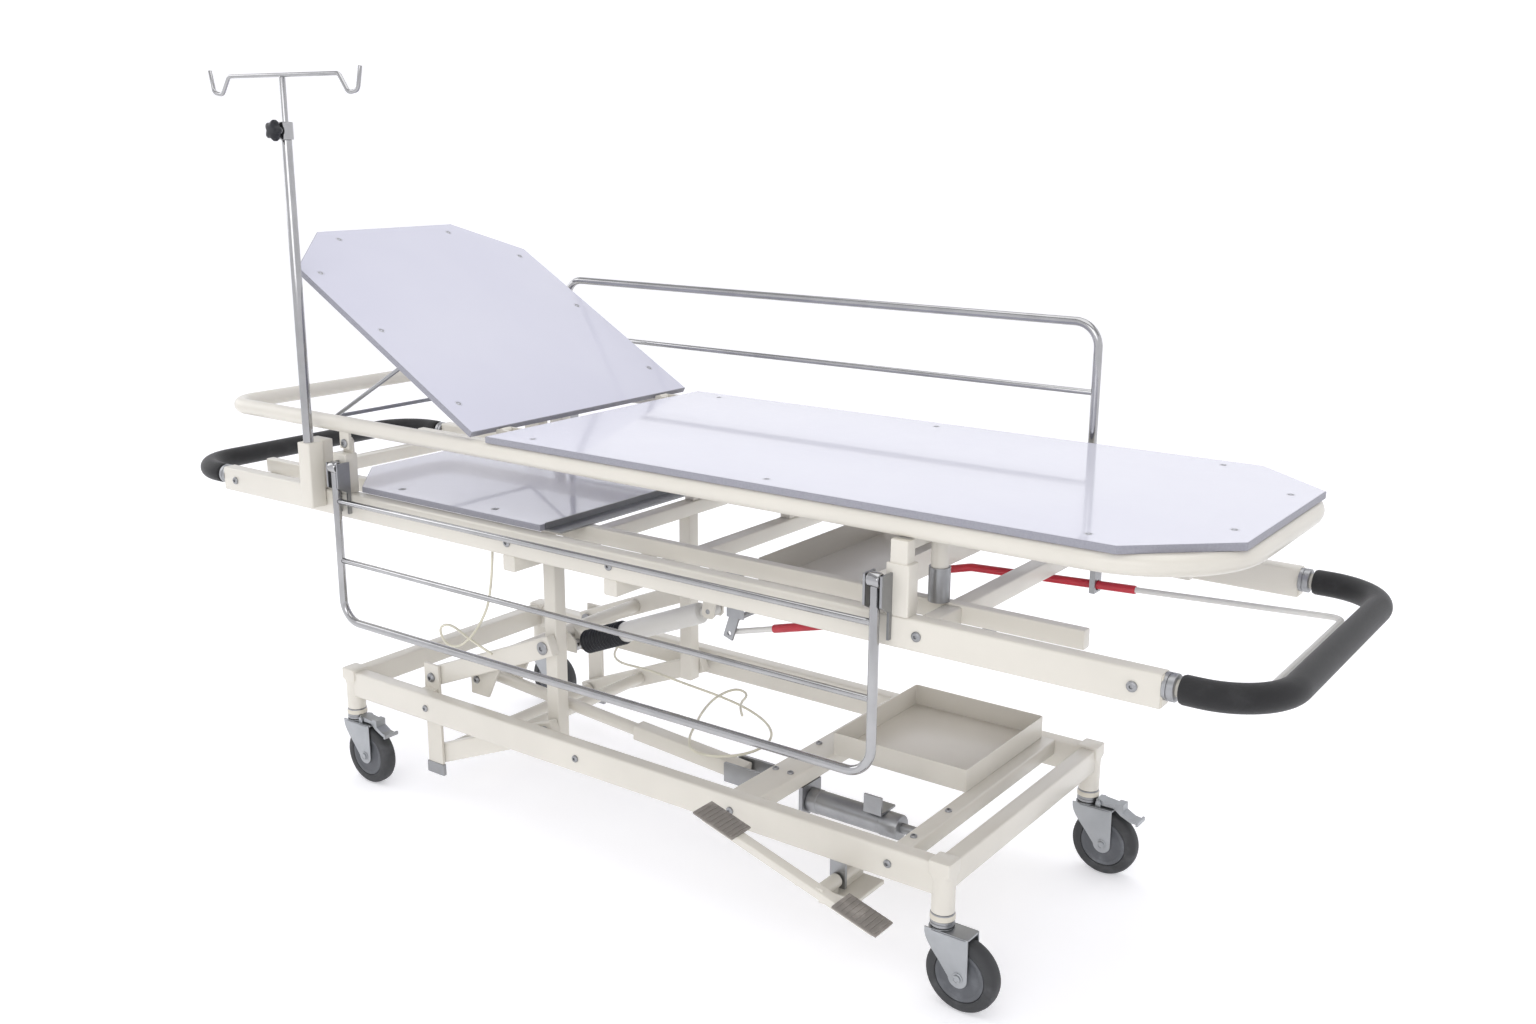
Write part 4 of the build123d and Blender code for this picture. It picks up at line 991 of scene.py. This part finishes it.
def washer_screw(point, place=None):
    """A cup washer and its screw, turned as one profile and then moved with the board."""
    rows = ((-0.6, 8), (0, 8.4), (0.6, 8.0), (0.9, 7.0), (0.3, 6.4), (0.5, 5.6), (1.1, 4.6), (1.1, 2.2),
            (0.4, 2), (0.4, 0.2))
    verts, faces, index = lathe(point, (0, 0, 1), rows, 28)
    return (verts if place is None else place(verts)), faces, index


MAIN_SCREW_Z, BACK_SCREW_Z = 804.2, 5.2
screws = [washer_screw((x, s * 275, MAIN_SCREW_Z)) for x in (-190, 330, 880) for s in SIDES]
screws += [washer_screw((1035, s * 130, MAIN_SCREW_Z)) for s in SIDES]
add("board_cup_screws", screws, [ZINC], "top_frame", ("main_board_screws",))
screws = [washer_screw((x, s * 275, BACK_SCREW_Z), raise_back) for x in (-90, -330, -530) for s in SIDES]
screws += [washer_screw((-640, s * 150, BACK_SCREW_Z), raise_back) for s in SIDES]
add("backrest_cup_screws", screws, [ZINC], "backrest", ("backrest_screws",))

# %% [markdown]
# A folding stay of thin rod holds the backrest up: two long rods joined by a cross rod at the foot, each
# with a short pin into the backrest frame. Three plain tubes are enough for so slim a part.

# %% Backrest stay
(UX, UZ), (LX, LZ) = (-532.51, 906.68), (-749.01, 781.68)
stay = [tube([(UX, s * 272, UZ), (LX, s * 272, LZ)], 4, normal=(0, 1, 0), count=16) for s in SIDES]
stay += [tube([(UX, s * 262, UZ), (UX, s * 275, UZ)], 4, normal=(1, 0, 0), count=16) for s in SIDES]
stay.append(tube([(LX, -275, LZ), (LX, 275, LZ)], 4, normal=(1, 0, 0), count=16))
add("stay_rods", stay, [ZINC], "stay", ("backrest_stay",))

# %% [markdown]
# Each side rail is a chromed loop that turns half a circle about a line beside the chassis, so it either
# hangs below the rail or stands above the board. Two thin bars cross it.

# %% Side rails
LEGS = {-1: (-668, 580), 1: (-683, 615)}
HINGE_Z = 700
HINGE_RING = ((0, 4.2), (0, 10), (1.6, 11.6), (3, 12), (19, 12), (20.4, 11.6), (22, 10), (22, 4.2))
for where, side in (("near", -1), ("far", 1)):
    y = side * 345
    head, foot = LEGS[side]
    root, edge = HINGE_Z + side * 8, HINGE_Z + side * 316
    path = [(head, y, root), (head, y, edge), (foot, y, edge), (foot, y, root)]
    parts = [tube(path, 8, 45, normal=(0, 1, 0), count=28, steps=16)]
    for drop in (68, 190):
        z = HINGE_Z + side * drop
        parts.append(tube([(head + 6, y, z), (foot - 6, y, z)], 5.5, normal=(0, 1, 0), count=20))
    parts += [lathe((x - 11, y, HINGE_Z), (1, 0, 0), HINGE_RING) for x in (head, foot)]
    add(f"{where}_rail_loop", parts, [CHROME], f"{where}_rail", (f"{where}_side_rail",))

# %% [markdown]
# The infusion pole slides in a tube and swivels in its socket. Its head is a thin bar whose two ends are
# bent down and up again into hooks. A black five-lobed knob clamps the height.

# %% Infusion pole
PX, PY, KNOB_Z = -745, -345, 1342
add("pole_outer", [lathe((PX, PY, 645), (0, 0, 1), ((0, 9), (0.8, 10), (679, 10), (680, 9.6)), 32),
                   lathe((PX, PY, 1325), (0, 0, 1), ((0, 12), (0.8, 14), (32, 14), (33, 12.6), (33, 6.4)), 32),
                   tube([(PX, PY - 10, KNOB_Z), (PX, PY - 17.2, KNOB_Z)], 7, normal=(1, 0, 0))],
    [CHROME], "pole_tube", ("iv_pole_tube",))
half_bar = ((226, 1455), (216, 1413), (190, 1409), (165, 1443))
line = [(PX - out, PY, z) for out, z in half_bar] + [(PX + out, PY, z) for out, z in half_bar[::-1]]
hooks = [lathe((PX, PY, 1000), (0, 0, 1), ((0, 5.4), (0.6, 6), (438, 6), (441, 4.5)), 24),
         tube(line, 4, 12, normal=(0, 1, 0), count=16, steps=8)]
add("pole_inner_and_hooks", hooks, [CHROME], "pole_rod", ("iv_pole_rod",))


def lobed_knob():
    """Radius = core * (1 + 0.16 * cos(5 * angle)), with the lobes fading out towards the axis."""
    a = angles(80)
    rows = np.array([(17.6, 7), (19, 11), (21, 15.5), (25, 17.6), (31, 17.6), (34, 15.5), (35.6, 11), (36, 6),
                     (36, 1)])
    depth, core = rows[:, :1], rows[:, 1:]
    r = core * (1 + 0.16 * np.cos(5 * a)[None] * np.clip(core / 12 - 0.4, 0, 1))
    verts = np.stack([PX + r * np.cos(a), np.broadcast_to(PY - depth, r.shape), KNOB_Z + r * np.sin(a)], -1)
    return verts.reshape(-1, 3), capped(len(rows), len(a)), 0


add("pole_clamp_knob", [lobed_knob()], [BLACK], "pole_knob", ("iv_pole_knob",))

# %% [markdown]
# The release bar is a U of thin rod that runs out past the foot handle. Red sleeves mark where it is
# pulled, and two cranks turn the pull into a lift of the catch.

# %% Release bar
rods, sleeves = [], []
for s in SIDES:
    y = s * 200
    line = round_corners([(205, y, 500), (455, y, 567), (1096, y, 600)], 60, steps=10)
    stations, insets = ends(line, 1.0)
    rods.append(sweep(stations, circle(5, 20), (0, 1, 0), insets=insets))
    if s < 0:
        covered = [(294, y, 523.9), (398, y, 551.7)]
    else:
        covered = [(260, y, 514.7), (455, y, 567), (772, y, 583.2)]
    sleeves.append(tube(covered, 7.5, 60 if s > 0 else 0, normal=(0, 1, 0), count=24, steps=10))
rods.append(tube([(1095, -200, 600), (1116, -200, 600), (1116, 200, 600), (1095, 200, 600)], 5, 18, count=20))
add("release_rods", rods, [SPRING_WHITE], "release", ("release_rod",))
add("release_red_sleeves", sleeves, [RED], "release", ("release_sleeves",))

# %% [markdown]
# Everything else keeps its engineering shape. Each part's material slots are given the finish that the
# real one has.

# %% Finishes on the kept parts
KEPT = {"base_brackets": ZINC, "chassis_brackets": ZINC, "rail_pivot_lugs": ZINC, "release_cranks": ZINC,
        "brake_lever_head": CAST, "brake_lever_foot": CAST, "lift_brackets": CREAM, "cable_trough": CREAM,
        "backrest_frame": CREAM, "top_cross_tubes": CREAM}
for node, material in KEPT.items():
    slots = NODES[node].material_slots
    if not slots:
        NODES[node].data.materials.append(material)
    for slot in slots:
        slot.material = material
print("kept", len(KEPT))

# %% [markdown]
# The studio is a pale floor that curves up into a wide bowl. A flat floor with a backdrop would be
# simpler, but their seam shows from low down. The floor glows faintly, which keeps it near white. A big
# soft light hangs overhead, one fills from the camera's side and a small one comes from the head end.

# %% Studio
HALF, CELLS = 16, 80
across = np.linspace(-HALF, HALF, CELLS + 1)
x, y = np.meshgrid(across, across, indexing="ij")
# Height = 9 m times (distance beyond 7 m / 9 m) to the power 2.2.
height = 9.0 * np.clip((np.hypot(x, y) - 7.0) / 9.0, 0, 1.5) ** 2.2
verts = np.stack([x, y, height], -1).reshape(-1, 3)
i, j = np.meshgrid(np.arange(CELLS), np.arange(CELLS), indexing="ij")
k = (i * (CELLS + 1) + j).ravel()
faces = np.stack([k, k + CELLS + 1, k + CELLS + 2, k + 1], 1)
mesh = bpy.data.meshes.new("studio_floor")
mesh.from_pydata(verts.tolist(), [], faces.tolist())
mesh.polygons.foreach_set("use_smooth", [True] * len(faces))
paper = Finish("studio_paper", (0.90, 0.90, 0.91), 1.0, specular=0.0)
paper.set("Base Color", paper.mix(paper.noise(0.6), (0.90, 0.90, 0.91), (0.91, 0.91, 0.92)))
paper.set("Emission Color", (0.97, 0.97, 1.0, 1.0))
paper.set("Emission Strength", 0.32)
mesh.materials.append(paper.material)
floor = bpy.data.objects.new("studio_floor", mesh)
SCENE.collection.objects.link(floor)


def softbox(name, place, target, size, power):
    """A rectangular lamp: tilt = angle of the aim from straight down, turn = its heading."""
    lamp = bpy.data.lights.new(name, "AREA")
    lamp.shape = "RECTANGLE"
    lamp.size, lamp.size_y = size
    lamp.energy = power
    obj = bpy.data.objects.new(name, lamp)
    aim = np.asarray(target, float) - np.asarray(place, float)
    tilt = math.atan2(math.hypot(aim[0], aim[1]), -aim[2])
    obj.location = place
    obj.rotation_euler = (tilt, 0, math.atan2(aim[1], aim[0]) - math.pi / 2)
    SCENE.collection.objects.link(obj)


softbox("overhead_softbox", (0.3, 0.2, 4.2), (0, 0, 0.5), (4.5, 3.5), 62)
softbox("near_fill", (1.5, -4.2, 2.6), (0, 0, 0.6), (3.0, 2.0), 34)
softbox("head_side", (-4.0, -1.0, 2.4), (0, 0, 0.6), (2.2, 2.2), 22)
print("lamps", len(bpy.data.lights))
world = bpy.data.worlds.new("studio_air")
world.use_nodes = True
world.node_tree.nodes["Background"].inputs["Color"].default_value = (0.98, 0.98, 1.0, 1)
world.node_tree.nodes["Background"].inputs["Strength"].default_value = 0.62
SCENE.world = world
